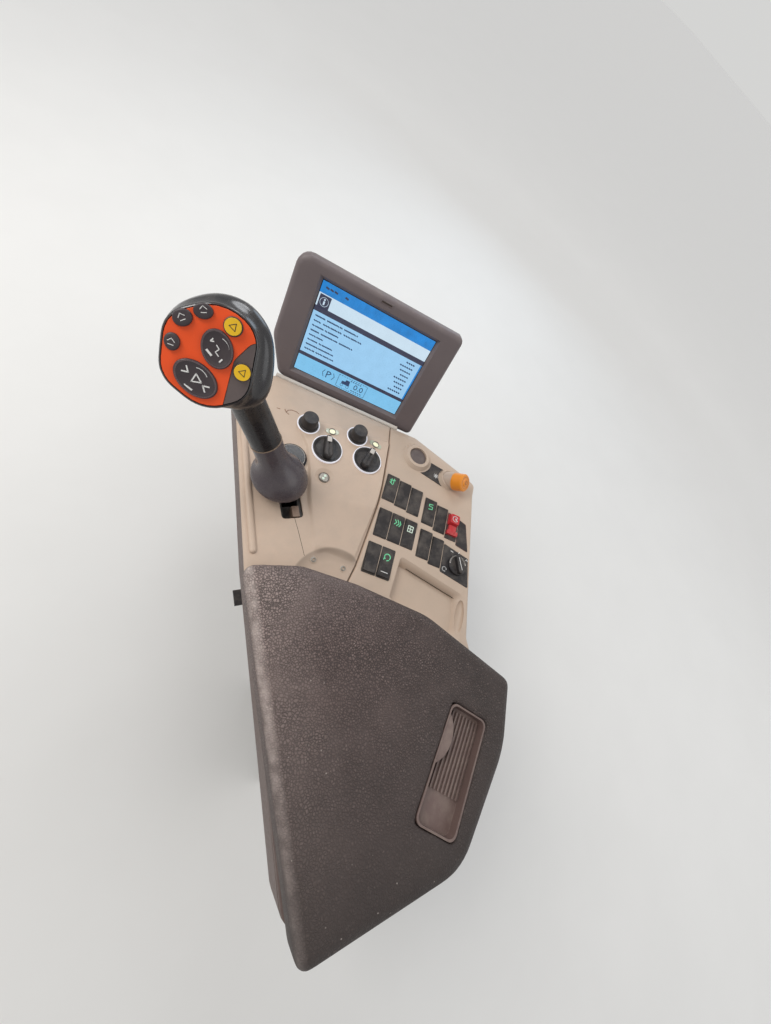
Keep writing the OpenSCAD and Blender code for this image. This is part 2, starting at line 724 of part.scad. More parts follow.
cheek_y = slot_y[0] - 4; // rear end of the cheeks
shelf_z = panel_low - 12; // shelf that carries the stop
shelf_t = 4;
pin_fit = 0.05; // radial clearance of the hinge pins

module gate_bracket() {
    color(steel) difference() {
        union() {
            for (side = [-1, 1]) translate([pivot.x + side * cheek_x - cheek_t / 2, 0, 0]) {
                translate([0, pivot.y, pivot.z]) rotate([0, 90, 0]) cylinder(r = cheek_r, h = cheek_t);
                box([0, pivot.y - cheek_r, pivot.z], [cheek_t, pivot.y + cheek_r, panel_low]);
                box([0, cheek_y, shelf_z - shelf_t], [cheek_t, pivot.y, panel_low]);
            }
            box([pivot.x - cheek_x, cheek_y, shelf_z - shelf_t], [pivot.x + cheek_x, cheek_y + 26, shelf_z]);
        }
        translate([pivot.x - 40, pivot.y, pivot.z]) rotate([0, 90, 0]) cylinder(r = pin_d / 2 + pin_fit, h = 80);
    }
}

module gate_stop() {
    color(steel) box([pivot.x + 1, slot_y[0] + 1.5, shelf_z], [pivot.x + cheek_x - cheek_t / 2 - 0.5, slot_y[0] + 16, deck_z + 1.5]);
}

// Drive lever

boot_at = [60, 120, deck_z + 16];
neck_at = [37, 141.5, boot_at.z + 53];
knee_at = [20, 154, 50];
head_at = [-26.5, 153.5, 128];
head_yaw = -19;
head_tip = 48;
face_plan = [[-30, -26, 22], [6, -44, 30], [38, -24, 22], [36, 30, 22], [6, 45, 34], [-32, 20, 26]];
face_t = 3;

module lever_shank() {
    color(steel) {
        translate([pivot.x - cheek_x - cheek_t / 2 - 3, pivot.y, pivot.z]) rotate([0, 90, 0]) cylinder(d = pin_d, h = 2 * cheek_x + cheek_t + 6);
        translate([pivot.x - shank_w / 2, pivot.y, pivot.z]) rotate([0, 90, 0]) cylinder(r = 11, h = shank_w);
        box([pivot.x - shank_w / 2, pivot.y - shank_w / 2, pivot.z], [pivot.x + shank_w / 2, pivot.y + shank_w / 2, boot_at.z]);
    }
}

// A disc across the line from p to q, at p
module disc(p, q, r, h) {
    d = unit(q - p);
    translate(p) rotate([0, acos(d.z), atan2(d.y, d.x)]) cylinder(r = r, h = h, $fn = 32);
}

// Points round a circle of radius r about c, across the direction d
circle_steps = 32;
function hoop(c, d, r) = let (u = unit(cross([0, 1, 0], d)), v = cross(d, u))
    [for (i = [0 : circle_steps - 1])
        let (a = 360 * i / circle_steps) c + r * (u * cos(a) + v * sin(a))];

// Boot: height along the axis from 0 to 1, and the share of the way from the sleeve's radius to the rim's
boot_rows = [[0, 1], [0.06, 1.02], [0.14, 0.95], [0.24, 0.78], [0.34, 0.52], [0.44, 0.26], [0.56, 0.08], [0.7, 0.01], [1, 0]];
module lever_boot() {
    sleeve_r = stalk_r + 0.6;
    lean = unit(knee_at - neck_at);
    color(black) loft([for (row = boot_rows)
        let (t = row[0], c = lerp(boot_at, neck_at, t))
        hoop(c, unit(lerp([0, 0, 1], lean, min(1, t * 1.6))), lerp(sleeve_r, boot_r, row[1]))]);
}

function lerp(a, b, t) = a + (b - a) * t;

stalk_top = [1, 159, 92];
stalk_end = [-19, 167, 110]; // inside the head's body
stalk_path = [neck_at, knee_at, stalk_top, stalk_end];

// Smooth curve through the stalk's points, with a growing radius
function stalk_row(s) = let (k = min(2, floor(s)), t = s - k, p = stalk_path[k], q = stalk_path[k + 1],
        a = k == 0 ? q - p : (q - stalk_path[k - 1]) / 2, b = k == 2 ? q - p : (stalk_path[k + 2] - p) / 2)
    p * (1 - 3 * t * t + 2 * t * t * t) + q * (3 * t * t - 2 * t * t * t)
        + a * (t - 2 * t * t + t * t * t) + b * (t * t * t - t * t);

module stalk_form(grow) {
    last = 8;
    loft([for (k = [0 : last]) let (s = 3 * k / last, e = 0.01,
            d = unit(stalk_row(min(3, s + e)) - stalk_row(max(0, s - e))),
            r = stalk_r + grow + 3 * pow(max(0, s - 1.5) / 1.5, 2))
        hoop(stalk_row(s) + (k == 0 ? d * (0.8 - grow) : [0, 0, 0]), d, r)]);
}

module lever_stalk() {
    color(black) stalk_form(0);
}

module in_head() {
    translate(head_at) rotate([0, 0, head_yaw]) rotate([head_tip, 0, 0]) children();
}

// Outline of the head's body where it is widest, behind the face
body_plan = [[-31, -27, 16], [6, -46, 24], [46, -52, 14], [64, -34, 14], [54, 22, 22], [40, 44, 14], [8, 56, 24], [-36, 24, 26]];
module lever_head() {
    color(black) difference() {
        in_head() hull() {
            slab(inset(face_plan, -3), -7, 4);
            slab(inset(face_plan, -1.6), -7, 6);
            slab(inset(body_plan, 1.5), -13, 1);
            slab(body_plan, -head_t * 0.62, 4);
            translate([5, 4, -head_t]) scale([0.78, 0.8, 1]) slab(face_plan, 0, 1);
        }
        in_head() slab(inset(face_plan, -clear), -face_t, face_t + 5);
        stalk_form(0.2);
    }
}

inset_plan = [[20, -52, 4], [50, -52, 4], [50, 24, 4], [34, 24, 12], [22, 4, 12]];
module head_face() {
    color(orange) in_head() difference() {
        slab(face_plan, -face_t, face_t);
        slab(inset_plan, -face_t - 1, face_t + 2);
    }
}

module head_inset() {
    color("dimgray") in_head() intersection() {
        slab(face_plan, -face_t, face_t - 0.4);
        slab(inset(inset_plan, clear), -face_t - 1, face_t + 2);
    }
}

// Oval pads on the face: x, y, half width, half height, turn
pads = [[-20.4, 22, 6.5, 5.5, 40], [-6.5, 33, 6.5, 4.6, 20], [-24.8, 1.6, 5, 6, 0], [8.3, 7.9, 12.5, 15.5, 20], [-3.2, -20.7, 18.5, 13.5, -25]];
module head_pads() {
    color(black) in_head() for (p = pads) translate([p[0], p[1], 0]) rotate([0, 0, p[4]])
        linear_extrude(2.5) scale([p[2], p[3]]) circle(r = 1, $fn = 32);
}

module head_buttons() {
    color("gold") in_head() {
        translate([16.5, 28.9, 0]) cylinder(r = 6.6, h = 3.5);
        translate([30.5, -3.1, -0.4]) cylinder(r = 6.6, h = 3.9);
    }
}

// Armrest lid: hinge, pan, pad, ribbed insert and tab

rest_gap = 0.4; // the closed pan lies this far above the bin's flange
pan_z = deck_z + rest_gap; // underside of the pan
pad_t = -pan_z - pan_t; // thickness of the soft pad
pan_in = 2; // the pan lies this far inside the pad's outline
rear_wall = -330; // rear face of the housing
pad_rear = -331; // rear face of the pad
leaf_t = 3;
knuckle_r = 5;
hinge_pin_d = 4;
hinge_l = 96;
hinge_at = [76, rear_wall - leaf_t - knuckle_r + 1, panel_low];
knuckle_x = [-24, 24]; // middle of the lid's knuckles
knuckle_w = 18;

module hinge_leaf() {
    color(steel) {
        difference() {
            union() {
                translate([hinge_at.x - hinge_l / 2, hinge_at.y, hinge_at.z]) rotate([0, 90, 0]) cylinder(r = knuckle_r, h = hinge_l);
                box([hinge_at.x - hinge_l / 2, rear_wall - leaf_t, hinge_at.z - 40], [hinge_at.x + hinge_l / 2, rear_wall, hinge_at.z]);
            }
            for (x = knuckle_x) translate([hinge_at.x + x - knuckle_w / 2 - clear, hinge_at.y - knuckle_r - 1, hinge_at.z - knuckle_r - 1])
                cube([knuckle_w + 2 * clear, 3 * knuckle_r, 3 * knuckle_r]);
        }
        translate([hinge_at.x - hinge_l / 2, hinge_at.y, hinge_at.z]) rotate([0, 90, 0]) cylinder(d = hinge_pin_d, h = hinge_l);
    }
}

// Two straps with knuckles, fixed to the pan's rear edge
module lid_strap() {
    pan_rear = pad_rear + pan_in;
    color(steel) for (x = knuckle_x) translate([hinge_at.x + x - knuckle_w / 2, 0, 0]) difference() {
        union() {
            translate([0, hinge_at.y, hinge_at.z]) rotate([0, 90, 0]) cylinder(r = knuckle_r, h = knuckle_w);
            box([0, hinge_at.y, pan_z], [knuckle_w, pan_rear, pan_z + 3]);
            box([0, hinge_at.y - knuckle_r, hinge_at.z], [knuckle_w, hinge_at.y, pan_z + 3]);
            box([0, pan_rear - 3, pan_z], [knuckle_w, pan_rear, pan_z + pan_t - 1]);
        }
        translate([-1, hinge_at.y, hinge_at.z]) rotate([0, 90, 0]) cylinder(r = hinge_pin_d / 2 + pin_fit, h = knuckle_w + 2);
    }
}

module lid_pan() {
    color(brown) slab(inset(pad_plan, pan_in), pan_z, pan_t);
}

module pad_block() {
    hull() {
        slab(pad_plan, pan_z + pan_t, pad_t - pad_round);
        slab(inset(pad_plan, pad_round * 0.3), -pad_round * 0.35, 0.1);
        slab(inset(pad_plan, pad_round), -0.1, 0.1);
    }
}

recess_at = [180, -244];
recess_turn = -42;
module in_recess() {
    translate([recess_at.x, recess_at.y, 0]) rotate([0, 0, recess_turn]) children();
}

module pad() {
    color(brown) difference() {
        pad_block();
        in_recess() translate([0, 0, -recess_d - 3]) tile(recess_w, recess_l, recess_d + 4, 5);
    }
}

land_l = 50;
land_w = 11;
land_y = 21; // middle of the land along the recess
insert_t = 2;
module pad_insert() {
    color(brown) in_recess() {
        difference() {
            translate([0, 0, -recess_d - 3 + clear])
                tile(recess_w - 2 * clear, recess_l - 2 * clear, recess_d + 3 - clear - 0.5, 8);
            translate([0, 0, -recess_d])
                tile(recess_w - 2 * insert_t - 2 * clear, recess_l - 2 * insert_t - 2 * clear, recess_d + 4, 7);
        }
        difference() {
            for (k = [0 : rib_count - 1])
                translate([(k - (rib_count - 1) / 2) * (recess_w - 12) / (rib_count - 1) - 1, -recess_l / 2 + 34, -recess_d - 0.5])
                    cube([2, recess_l - 38 - insert_t, 3]);
            land(clear);
        }
    }
}

// Flush land in the recess, bounded by its left wall and an arc
module land(grow) {
    arc_r = (pow(land_l / 2, 2) + pow(land_w, 2)) / (2 * land_w);
    left = -recess_w / 2 + insert_t + 2 * clear;
    translate([0, land_y, -recess_d - (grow > 0 ? 1 : 0)]) intersection() {
        translate([left + land_w - arc_r, 0, 0]) cylinder(r = arc_r + grow, h = recess_d - 1);
        translate([left, -land_l, 0]) cube([land_w + 5, 2 * land_l, recess_d]);
    }
}

module pad_tab() {
    color(brown) in_recess() land(0);
}

// Terminal monitor

screen_at = [197, 292.6, 9.2];
module in_monitor() {
    translate(screen_at) rotate([0, 0, -monitor_yaw]) rotate([-monitor_lean, 0, 0]) children();
}

// Housing outline seen from the front: x, z, corner radius
monitor_plan = [[-monitor_w / 2 + 20, -monitor_h / 2 + 2, 14], [monitor_w / 2, -monitor_h / 2, 8],
    [monitor_w / 2 - 4, monitor_h / 2, 10], [-monitor_w / 2 + 2, monitor_h / 2 - 2, 18], [-monitor_w / 2 - 2, -30, 30]];
bezel_t = 12;
screen_t = 4;

module upright(path, y, t) {
    translate([0, y + t, 0]) rotate([90, 0, 0]) linear_extrude(t) polygon(outline(path));
}

edge_in = 7; // rounding of the monitor's front edge
bezel_lift = 5; // front of the bezel ahead of the screen's face
chamfer_w = 4;
module monitor_bezel() {
    opening = [screen_w + 2, screen_h + 2];
    color(brown) in_monitor() difference() {
        rotate([90, 0, 0]) moulded(monitor_plan, -bezel_t, bezel_lift, edge_in);
        translate([-opening.x / 2, -10, -opening.y / 2]) cube([opening.x, 40, opening.y]);
        hull() {
            translate([-opening.x / 2, -1, -opening.y / 2]) cube([opening.x, 1, opening.y]);
            translate([-opening.x / 2 - chamfer_w, -bezel_lift - 1, -opening.y / 2 - chamfer_w])
                cube([opening.x + 2 * chamfer_w, 1, opening.y + 2 * chamfer_w]);
        }
        translate([-8, -bezel_lift - 1, screen_h / 2 + 12]) cube([17, 3, 3]);
    }
}

module screen() {
    color("steelblue") in_monitor() translate([-screen_w / 2 - 1 + clear, 0, -screen_h / 2 - 1 + clear])
        cube([screen_w + 2 - 2 * clear, bezel_t, screen_h + 2 - 2 * clear]);
}

module monitor_shell() {
    color(brown) in_monitor() hull() {
        upright(inset(monitor_plan, 1), bezel_t, 1);
        upright(inset(monitor_plan, 4), bezel_t + 14, 1);
        upright(inset(monitor_plan, 26), monitor_d - 1, 1);
    }
}

// Stand on the housing's front wall, with the tilt yoke behind the monitor
tilt_y = monitor_d + 16; // tilt axis behind the screen's face
tilt_z = -30;
ear_t = 6;
ear_x = 24;
tilt_pin_d = 8;
post_r = 14;
function monitor_point(p) = let (a = p.y * cos(monitor_lean) + p.z * sin(monitor_lean),
        c = -p.y * sin(monitor_lean) + p.z * cos(monitor_lean))
    screen_at + [p.x * cos(monitor_yaw) + a * sin(monitor_yaw), -p.x * sin(monitor_yaw) + a * cos(monitor_yaw), c];
tilt_at = monitor_point([0, tilt_y, tilt_z]);
base_z = -28; // underside of the yoke, from the tilt axis
post_top = tilt_at.z + base_z;
post_low = deck_z - 50;
stand_reach = (point(tilt_at) - front_left) * [-sin(front_turn), cos(front_turn)];
flange_h = 40;

module monitor_stand() {
    color(black) translate([tilt_at.x, tilt_at.y, post_low]) {
        cylinder(r = post_r, h = post_top - post_low);
        rotate([0, 0, front_turn]) {
            hull() {
                translate([0, 0, 1]) cylinder(r = post_r - 2, h = 12, $fn = 32);
                translate([-26, -stand_reach + 2, 1]) cube([52, 2, 12]);
            }
            translate([-32, -stand_reach, -flange_h / 4]) cube([64, 5, flange_h]);
        }
    }
}

module in_tilt() {
    translate(tilt_at) rotate([0, 0, -monitor_yaw]) children();
}

// Barrel and plate on the monitor's back, with the tilt pin
module monitor_lug() {
    color(black) in_tilt() {
        translate([-ear_x + 0.5, 0, 0]) rotate([0, 90, 0]) cylinder(r = 10, h = 2 * ear_x - 1);
        translate([-ear_x - ear_t - 3, 0, 0]) rotate([0, 90, 0]) cylinder(d = tilt_pin_d, h = 2 * (ear_x + ear_t + 3));
        rotate([-monitor_lean, 0, 0]) {
            translate([-ear_x + 4, monitor_d - tilt_y, -8]) cube([2 * ear_x - 8, tilt_y - monitor_d, 16]);
            translate([-35, monitor_d - tilt_y, -22]) cube([70, 4, 50]);
        }
    }
}

module monitor_yoke() {
    color(steel) in_tilt() difference() {
        union() {
            translate([-ear_x - ear_t, -12, base_z]) cube([2 * (ear_x + ear_t), 24, 6]);
            for (side = [-1, 1]) translate([side * (ear_x + ear_t / 2) - ear_t / 2, -12, base_z]) cube([ear_t, 24, -base_z]);
            for (side = [-1, 1]) translate([side * (ear_x + ear_t / 2) - ear_t / 2, 0, 0]) rotate([0, 90, 0]) cylinder(r = 12, h = ear_t);
        }
        translate([-50, 0, 0]) rotate([0, 90, 0]) cylinder(r = tilt_pin_d / 2 + pin_fit, h = 100);
    }
}

module placed() {
    translate(-mount_at) children();
}

placed() seat_plate();
placed() column();
placed() height_knob();
placed() slider();
placed() rail_left();
placed() rail_right();
placed() slide_latch();
placed() runner_left();
placed() runner_right();
placed() shell();
placed() bin();
placed() main_panel();
placed() switch_panel();
placed() gate_bracket();
placed() gate_stop();
placed() harness_gland();
placed() rockers_front();
placed() rockers_middle();
placed() rockers_rear();
placed() rockers_right_front();
placed() rockers_right_rear();
placed() guard_cover();
placed() rotary_switch();
placed() ring_socket();
placed() label_plate();
placed() push_button();
placed() push_collar();
placed() knob_left();
placed() knob_right();
placed() selector_left();
placed() selector_right();
placed() dial();
placed() dimple_button();
placed() lamp_windows();
placed() lever_shank();
placed() lever_boot();
placed() lever_stalk();
placed() lever_head();
placed() head_face();
placed() head_inset();
placed() head_pads();
placed() head_buttons();
placed() hinge_leaf();
placed() lid_strap();
placed() lid_pan();
placed() pad();
placed() pad_insert();
placed() pad_tab();
placed() monitor_stand();
placed() monitor_yoke();
placed() monitor_lug();
placed() monitor_shell();
placed() monitor_bezel();
placed() screen();
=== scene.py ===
# Looks of the armrest control console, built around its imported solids
import json
import math

import bmesh
import bpy
from mathutils import Matrix, Vector

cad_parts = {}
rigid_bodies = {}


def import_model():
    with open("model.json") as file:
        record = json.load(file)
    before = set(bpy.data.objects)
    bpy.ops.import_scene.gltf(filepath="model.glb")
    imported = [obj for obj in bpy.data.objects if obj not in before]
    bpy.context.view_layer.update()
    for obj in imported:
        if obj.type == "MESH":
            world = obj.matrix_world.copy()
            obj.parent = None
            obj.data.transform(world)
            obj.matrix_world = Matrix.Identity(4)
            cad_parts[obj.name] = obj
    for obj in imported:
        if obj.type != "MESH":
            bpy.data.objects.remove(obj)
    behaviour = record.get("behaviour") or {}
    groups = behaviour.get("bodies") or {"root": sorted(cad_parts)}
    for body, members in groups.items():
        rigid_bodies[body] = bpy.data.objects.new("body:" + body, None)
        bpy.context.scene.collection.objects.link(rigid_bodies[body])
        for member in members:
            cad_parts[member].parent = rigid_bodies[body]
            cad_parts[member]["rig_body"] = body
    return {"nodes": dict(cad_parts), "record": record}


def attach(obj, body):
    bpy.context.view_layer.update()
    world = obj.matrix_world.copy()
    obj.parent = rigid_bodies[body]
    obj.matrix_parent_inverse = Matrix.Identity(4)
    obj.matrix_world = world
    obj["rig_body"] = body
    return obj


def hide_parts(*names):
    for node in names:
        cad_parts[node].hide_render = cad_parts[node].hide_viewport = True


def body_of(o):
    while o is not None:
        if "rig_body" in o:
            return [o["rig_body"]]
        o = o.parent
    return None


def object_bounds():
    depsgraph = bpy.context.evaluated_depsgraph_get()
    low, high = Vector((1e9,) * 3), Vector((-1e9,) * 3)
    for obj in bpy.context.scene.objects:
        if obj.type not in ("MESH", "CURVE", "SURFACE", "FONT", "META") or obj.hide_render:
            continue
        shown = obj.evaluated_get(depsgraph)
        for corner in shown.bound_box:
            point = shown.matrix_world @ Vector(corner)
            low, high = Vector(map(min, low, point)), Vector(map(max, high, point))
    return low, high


scene = bpy.context.scene
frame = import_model()
nodes = frame["nodes"]
cad_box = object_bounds()

# Places, in millimetres, as the part's source names them
MOUNT_AT = Vector((30, -200, -300))
DECK = -55
FIELD = -50.5
FRAME_TOP = -54.5
KNOBS = ((115, 209.4), (187, 190.5))
SELECTORS = ((134.4, 167.5, -14), (193, 149.5, -38))
DIAL = (83, 158)
FINGER_DISH = (122.6, 125.1)
LAMPS = ((148.6, 197.5, -12), (214.5, 176.5, -38))
ROTARY = (146, 64.5)

# Rows of rockers by the place of the first and the drop to the next, and the level of their faces
ROCKER_PITCH = 21.3
ROCKER_FACE = -53.5
ROW_FRONT = (15.5, 142, 2.4)
ROW_MIDDLE = (17.3, 82, 0)
ROW_REAR = (14.6, 26.2, 0)
ROW_RIGHT_FRONT = (85.3, 131.4, 4.2)
ROW_RIGHT_REAR = (87.4, 76.4, 4)

# The screen, plans by corner and radius, and the head's pads by place, half sizes and turn
SCREEN_W = 171
SCREEN_H = 128
PAD_PLAN = ((0, -331, 10), (165, -331, 60), (256, -252, 120), (294, -186, 12), (202, -86, 90),
            (120, -33, 60), (60, -2, 40), (-3, 9, 12))
FACE_PLAN = ((-30, -26, 22), (6, -44, 30), (38, -24, 22), (36, 30, 22), (6, 45, 34), (-32, 20, 26))
BODY_PLAN = ((-31, -24, 16), (6, -36, 24), (40, -40, 14), (56, -28, 14), (51, 22, 22), (40, 43, 14),
             (8, 55, 24), (-36, 26, 26))
HEAD_PADS = ((-20, 21.8, 7.6, 6.3, 40), (-6.5, 31.8, 7.4, 5.8, 20), (-24.4, 1.8, 5.8, 6.8, 0),
             (8.3, 7.9, 12.5, 15.5, 20), (-3.2, -20.7, 18.5, 13.5, -25))
HEAD_BUTTONS = ((16.5, 28.9, 3.5), (30.5, -3.1, 3.5))

# Middle and radius of the dished hollow, whose front rim gets painted shade, and the height where the
# guard's red begins, in metres
DISH = (0.0725, 0.1728, 0.0535)
GUARD_FOOT = 0.24552


def frame_at(parent, place, *turns):
    """Matrix of a frame at a place in its parent, turned about its own axes in turn"""
    matrix = parent @ Matrix.Translation(place)
    for axis, degrees in turns:
        matrix = matrix @ Matrix.Rotation(math.radians(degrees), 4, axis)
    return matrix


CONSOLE = Matrix.Scale(0.001, 4) @ Matrix.Translation(-MOUNT_AT)
ROWS = frame_at(CONSOLE, (142, -12, 0), ("Z", -29))
HEAD = frame_at(CONSOLE, (-26.5, 153.5, 128), ("Z", -19), ("X", 48))
MONITOR = frame_at(CONSOLE, (197, 292.6, 9.2), ("Z", -26), ("X", -21))
SCREEN = frame_at(MONITOR, (0, 0, 0), ("X", 90))
RECESS = frame_at(CONSOLE, (180, -244, 0), ("Z", -42))
BUTTON = frame_at(CONSOLE, (335, 113, DECK), ("Z", -58.4), ("Y", 37.5))

# Camera: the photograph's view, worked out from the lit screen's rectangle
IMAGE_HEIGHT = 1024
FOCAL_PX = 375
SENSOR_MM = 36
CAMERA_AT = Vector((-0.0795, 0.1106, 0.700))
CAMERA_AXES = Matrix(((0.8806, 0.074, -0.468), (-0.2315, 0.9291, -0.2886), (0.4135, 0.3625, 0.8353)))


def add_camera():
    data = bpy.data.cameras.new("camera")
    data.sensor_width = SENSOR_MM
    data.lens = FOCAL_PX / IMAGE_HEIGHT * SENSOR_MM
    data.clip_start = 0.01
    camera = bpy.data.objects.new("camera", data)
    camera.matrix_world = Matrix.Translation(CAMERA_AT) @ CAMERA_AXES.to_4x4()
    scene.collection.objects.link(camera)
    scene.camera = camera


def add_lamp(name, place, target, size, watts, colour):
    data = bpy.data.lights.new(name, "AREA")
    data.shape = "DISK"
    data.size = size
    data.energy = watts
    data.color = colour
    lamp = bpy.data.objects.new(name, data)
    lamp.location = place
    lamp.rotation_euler = (Vector(target) - Vector(place)).to_track_quat("-Z", "Y").to_euler()
    scene.collection.objects.link(lamp)


# Materials


def tone(red, green, blue):
    """A screen colour of 0 to 255 as the linear colour that shaders take"""
    return tuple((v / 255 / 12.92) if v < 10 else ((v / 255 + 0.055) / 1.055) ** 2.4
                 for v in (red, green, blue))


def scaled(colour, share):
    return tuple(min(1, v * share) for v in colour)


class Shade:
    """One material's nodes, laid on in the object's own coordinates"""

    def __init__(self, name):
        self.material = bpy.data.materials.new(name)
        self.material.use_nodes = True
        self.tree = self.material.node_tree
        self.shader = self.tree.nodes["Principled BSDF"]
        self.place = self.node("ShaderNodeTexCoord").outputs["Object"]
        self.surface = self.node("ShaderNodeNewGeometry").outputs["Normal"]

    def node(self, kind, inputs=None, **settings):
        """A new node with its settings, and its inputs by name or number"""
        made = self.tree.nodes.new(kind)
        for key, value in settings.items():
            setattr(made, key, value)
        for key, value in (inputs or {}).items():
            self.give(made.inputs[key], value)
        return made

    def give(self, socket, value):
        if isinstance(value, bpy.types.NodeSocket):
            self.tree.links.new(value, socket)
        elif isinstance(value, tuple) and len(value) == 3 and len(socket.default_value) == 4:
            socket.default_value = (*value, 1)
        else:
            socket.default_value = value

    def set(self, **values):
        for key, value in values.items():
            self.give(self.shader.inputs[key.replace("_", " ")], value)

    def noise(self, scale, detail=3, rough=0.55):
        inputs = {"Vector": self.place, "Scale": scale, "Detail": detail, "Roughness": rough}
        return self.node("ShaderNodeTexNoise", inputs).outputs[0]

    def cells(self, scale, feature="F1", place=None):
        inputs = {"Vector": self.place if place is None else place, "Scale": scale}
        return self.node("ShaderNodeTexVoronoi", inputs, feature=feature).outputs["Distance"]

    def creases(self, scale, shift):
        """Distance to the borders of cells that wander a little"""
        wander = self.node("ShaderNodeTexNoise", {"Vector": self.place, "Scale": 160})
        moved = self.vector("MULTIPLY_ADD", wander.outputs["Color"], (shift, shift, shift), self.place)
        return self.cells(scale, "DISTANCE_TO_EDGE", moved.outputs[0])

    def span(self, source, low, high, start=0.0, end=1.0):
        """A value's range from low to high laid on start to end, and cut off there"""
        inputs = {"Value": source, "From Min": low, "From Max": high, "To Min": start, "To Max": end}
        return self.node("ShaderNodeMapRange", inputs).outputs["Result"]

    def calc(self, operation, a, b):
        return self.node("ShaderNodeMath", {0: a, 1: b}, operation=operation).outputs[0]

    def times(self, a, b):
        return self.calc("MULTIPLY", a, b)

    def vector(self, operation, *values):
        """The node of an operation on vectors"""
        return self.node("ShaderNodeVectorMath", dict(enumerate(values)), operation=operation)

    def mix(self, share, a, b, how="MIX"):
        inputs = {0: share, 6: a, 7: b}
        return self.node("ShaderNodeMix", inputs, data_type="RGBA", blend_type=how).outputs[2]

    def axis(self, source, which):
        return self.node("ShaderNodeSeparateXYZ", {0: source}).outputs[which]

    def rounded(self, radius):
        return self.node("ShaderNodeBevel", {"Radius": radius}, samples=6).outputs["Normal"]

    def edges(self, radius, strength):
        """Share of wear on sharp edges, broken up along them"""
        meet = self.vector("DOT_PRODUCT", self.rounded(radius), self.surface)
        worn = self.span(meet.outputs["Value"], 0.985, 0.85)
        return self.times(worn, self.span(self.noise(150, 4), 0.42, 0.66, 0, strength))

    def bump(self, height, strength, distance, normal=None):
        made = self.node("ShaderNodeBump", {"Height": height, "Strength": strength, "Distance": distance})
        if normal is not None:
            self.give(made.inputs["Normal"], normal)
        return made.outputs["Normal"]


DUST = tone(170, 156, 142)


def dish_painted_shade(s, patches):
    """Share of painted shade on the front rim of the dished hollow"""
    x, y, radius = DISH
    flat = s.vector("MULTIPLY", s.place, (1, 1, 0))
    reach = s.vector("DISTANCE", flat.outputs[0], (x, y, 0)).outputs["Value"]
    band = s.times(s.span(reach, radius, radius - 0.0025),
                   s.span(reach, radius - 0.019, radius - 0.004, 0.25, 1))
    ahead = s.span(s.axis(s.place, 1), y + 0.012, y + 0.03)
    return s.times(s.times(band, ahead), s.span(patches, 0.2, 0.7, 0.85, 0.6))


def finish_of(name, colour, rough, metal=0.0, spread=0.1, patch=16, grain=0.2, size=1500, dust=0.15,
              wear=0.3, worn=None, radius=0.0006, coat=0.0, specks=0.0, foot=None, dished=False):
    """Moulded plastic, paint or metal: patches, fine mottle, dust, worn edges, specks and grain.
    A foot is the colour below a height, and a dished finish has painted shade on the front rim of the
    hollow"""
    s = Shade(name)
    patches = s.noise(patch, 4)
    base = s.mix(s.span(patches, 0.3, 0.7), scaled(colour, 1 - spread), scaled(colour, 1 + spread * 0.7))
    if foot is not None:
        level, foot_colour = foot
        over = s.calc("GREATER_THAN", s.axis(s.place, 2), level)
        base = s.mix(over, foot_colour, base)
    if spread > 0.15:
        fine = s.span(s.noise(380, 4, 0.7), 0.35, 0.7, 0, 0.5)
        base = s.mix(fine, base, scaled(colour, 0.9), "MULTIPLY")
    upward = s.span(s.axis(s.surface, 2), 0.35, 1)
    dirty = s.times(upward, s.span(s.noise(55, 6, 0.65), 0.42, 0.72, 0, dust))
    base = s.mix(dirty, base, DUST)
    # Painted shade: the front rim of the dished hollow is darkened
    if dished:
        base = s.mix(dish_painted_shade(s, patches), base, scaled(colour, 0.44))
    if specks:
        spots = s.span(s.cells(330), 0.16, 0.08, 0, specks)
        base = s.mix(s.times(spots, s.span(s.noise(60), 0.5, 0.62)), base, DUST)
    if wear:
        base = s.mix(s.edges(0.0012, wear), base, worn or scaled(colour, 1.7))
    s.set(Base_Color=base, Metallic=metal, Coat_Weight=coat, Coat_Roughness=0.12)
    mottle = s.calc("ADD", s.span(patches, 0.3, 0.7, rough - 0.06, rough + 0.05),
                    s.span(s.noise(240, 4, 0.7), 0.35, 0.7, -0.05, 0.08))
    s.set(Roughness=s.calc("ADD", mottle, s.times(dirty, 0.5)))
    height = s.calc("ADD", s.noise(size, 2), s.times(s.noise(size * 0.2, 3), 0.6))
    s.set(Normal=s.bump(height, grain, 0.0003, s.rounded(radius) if radius else None))
    return s.material


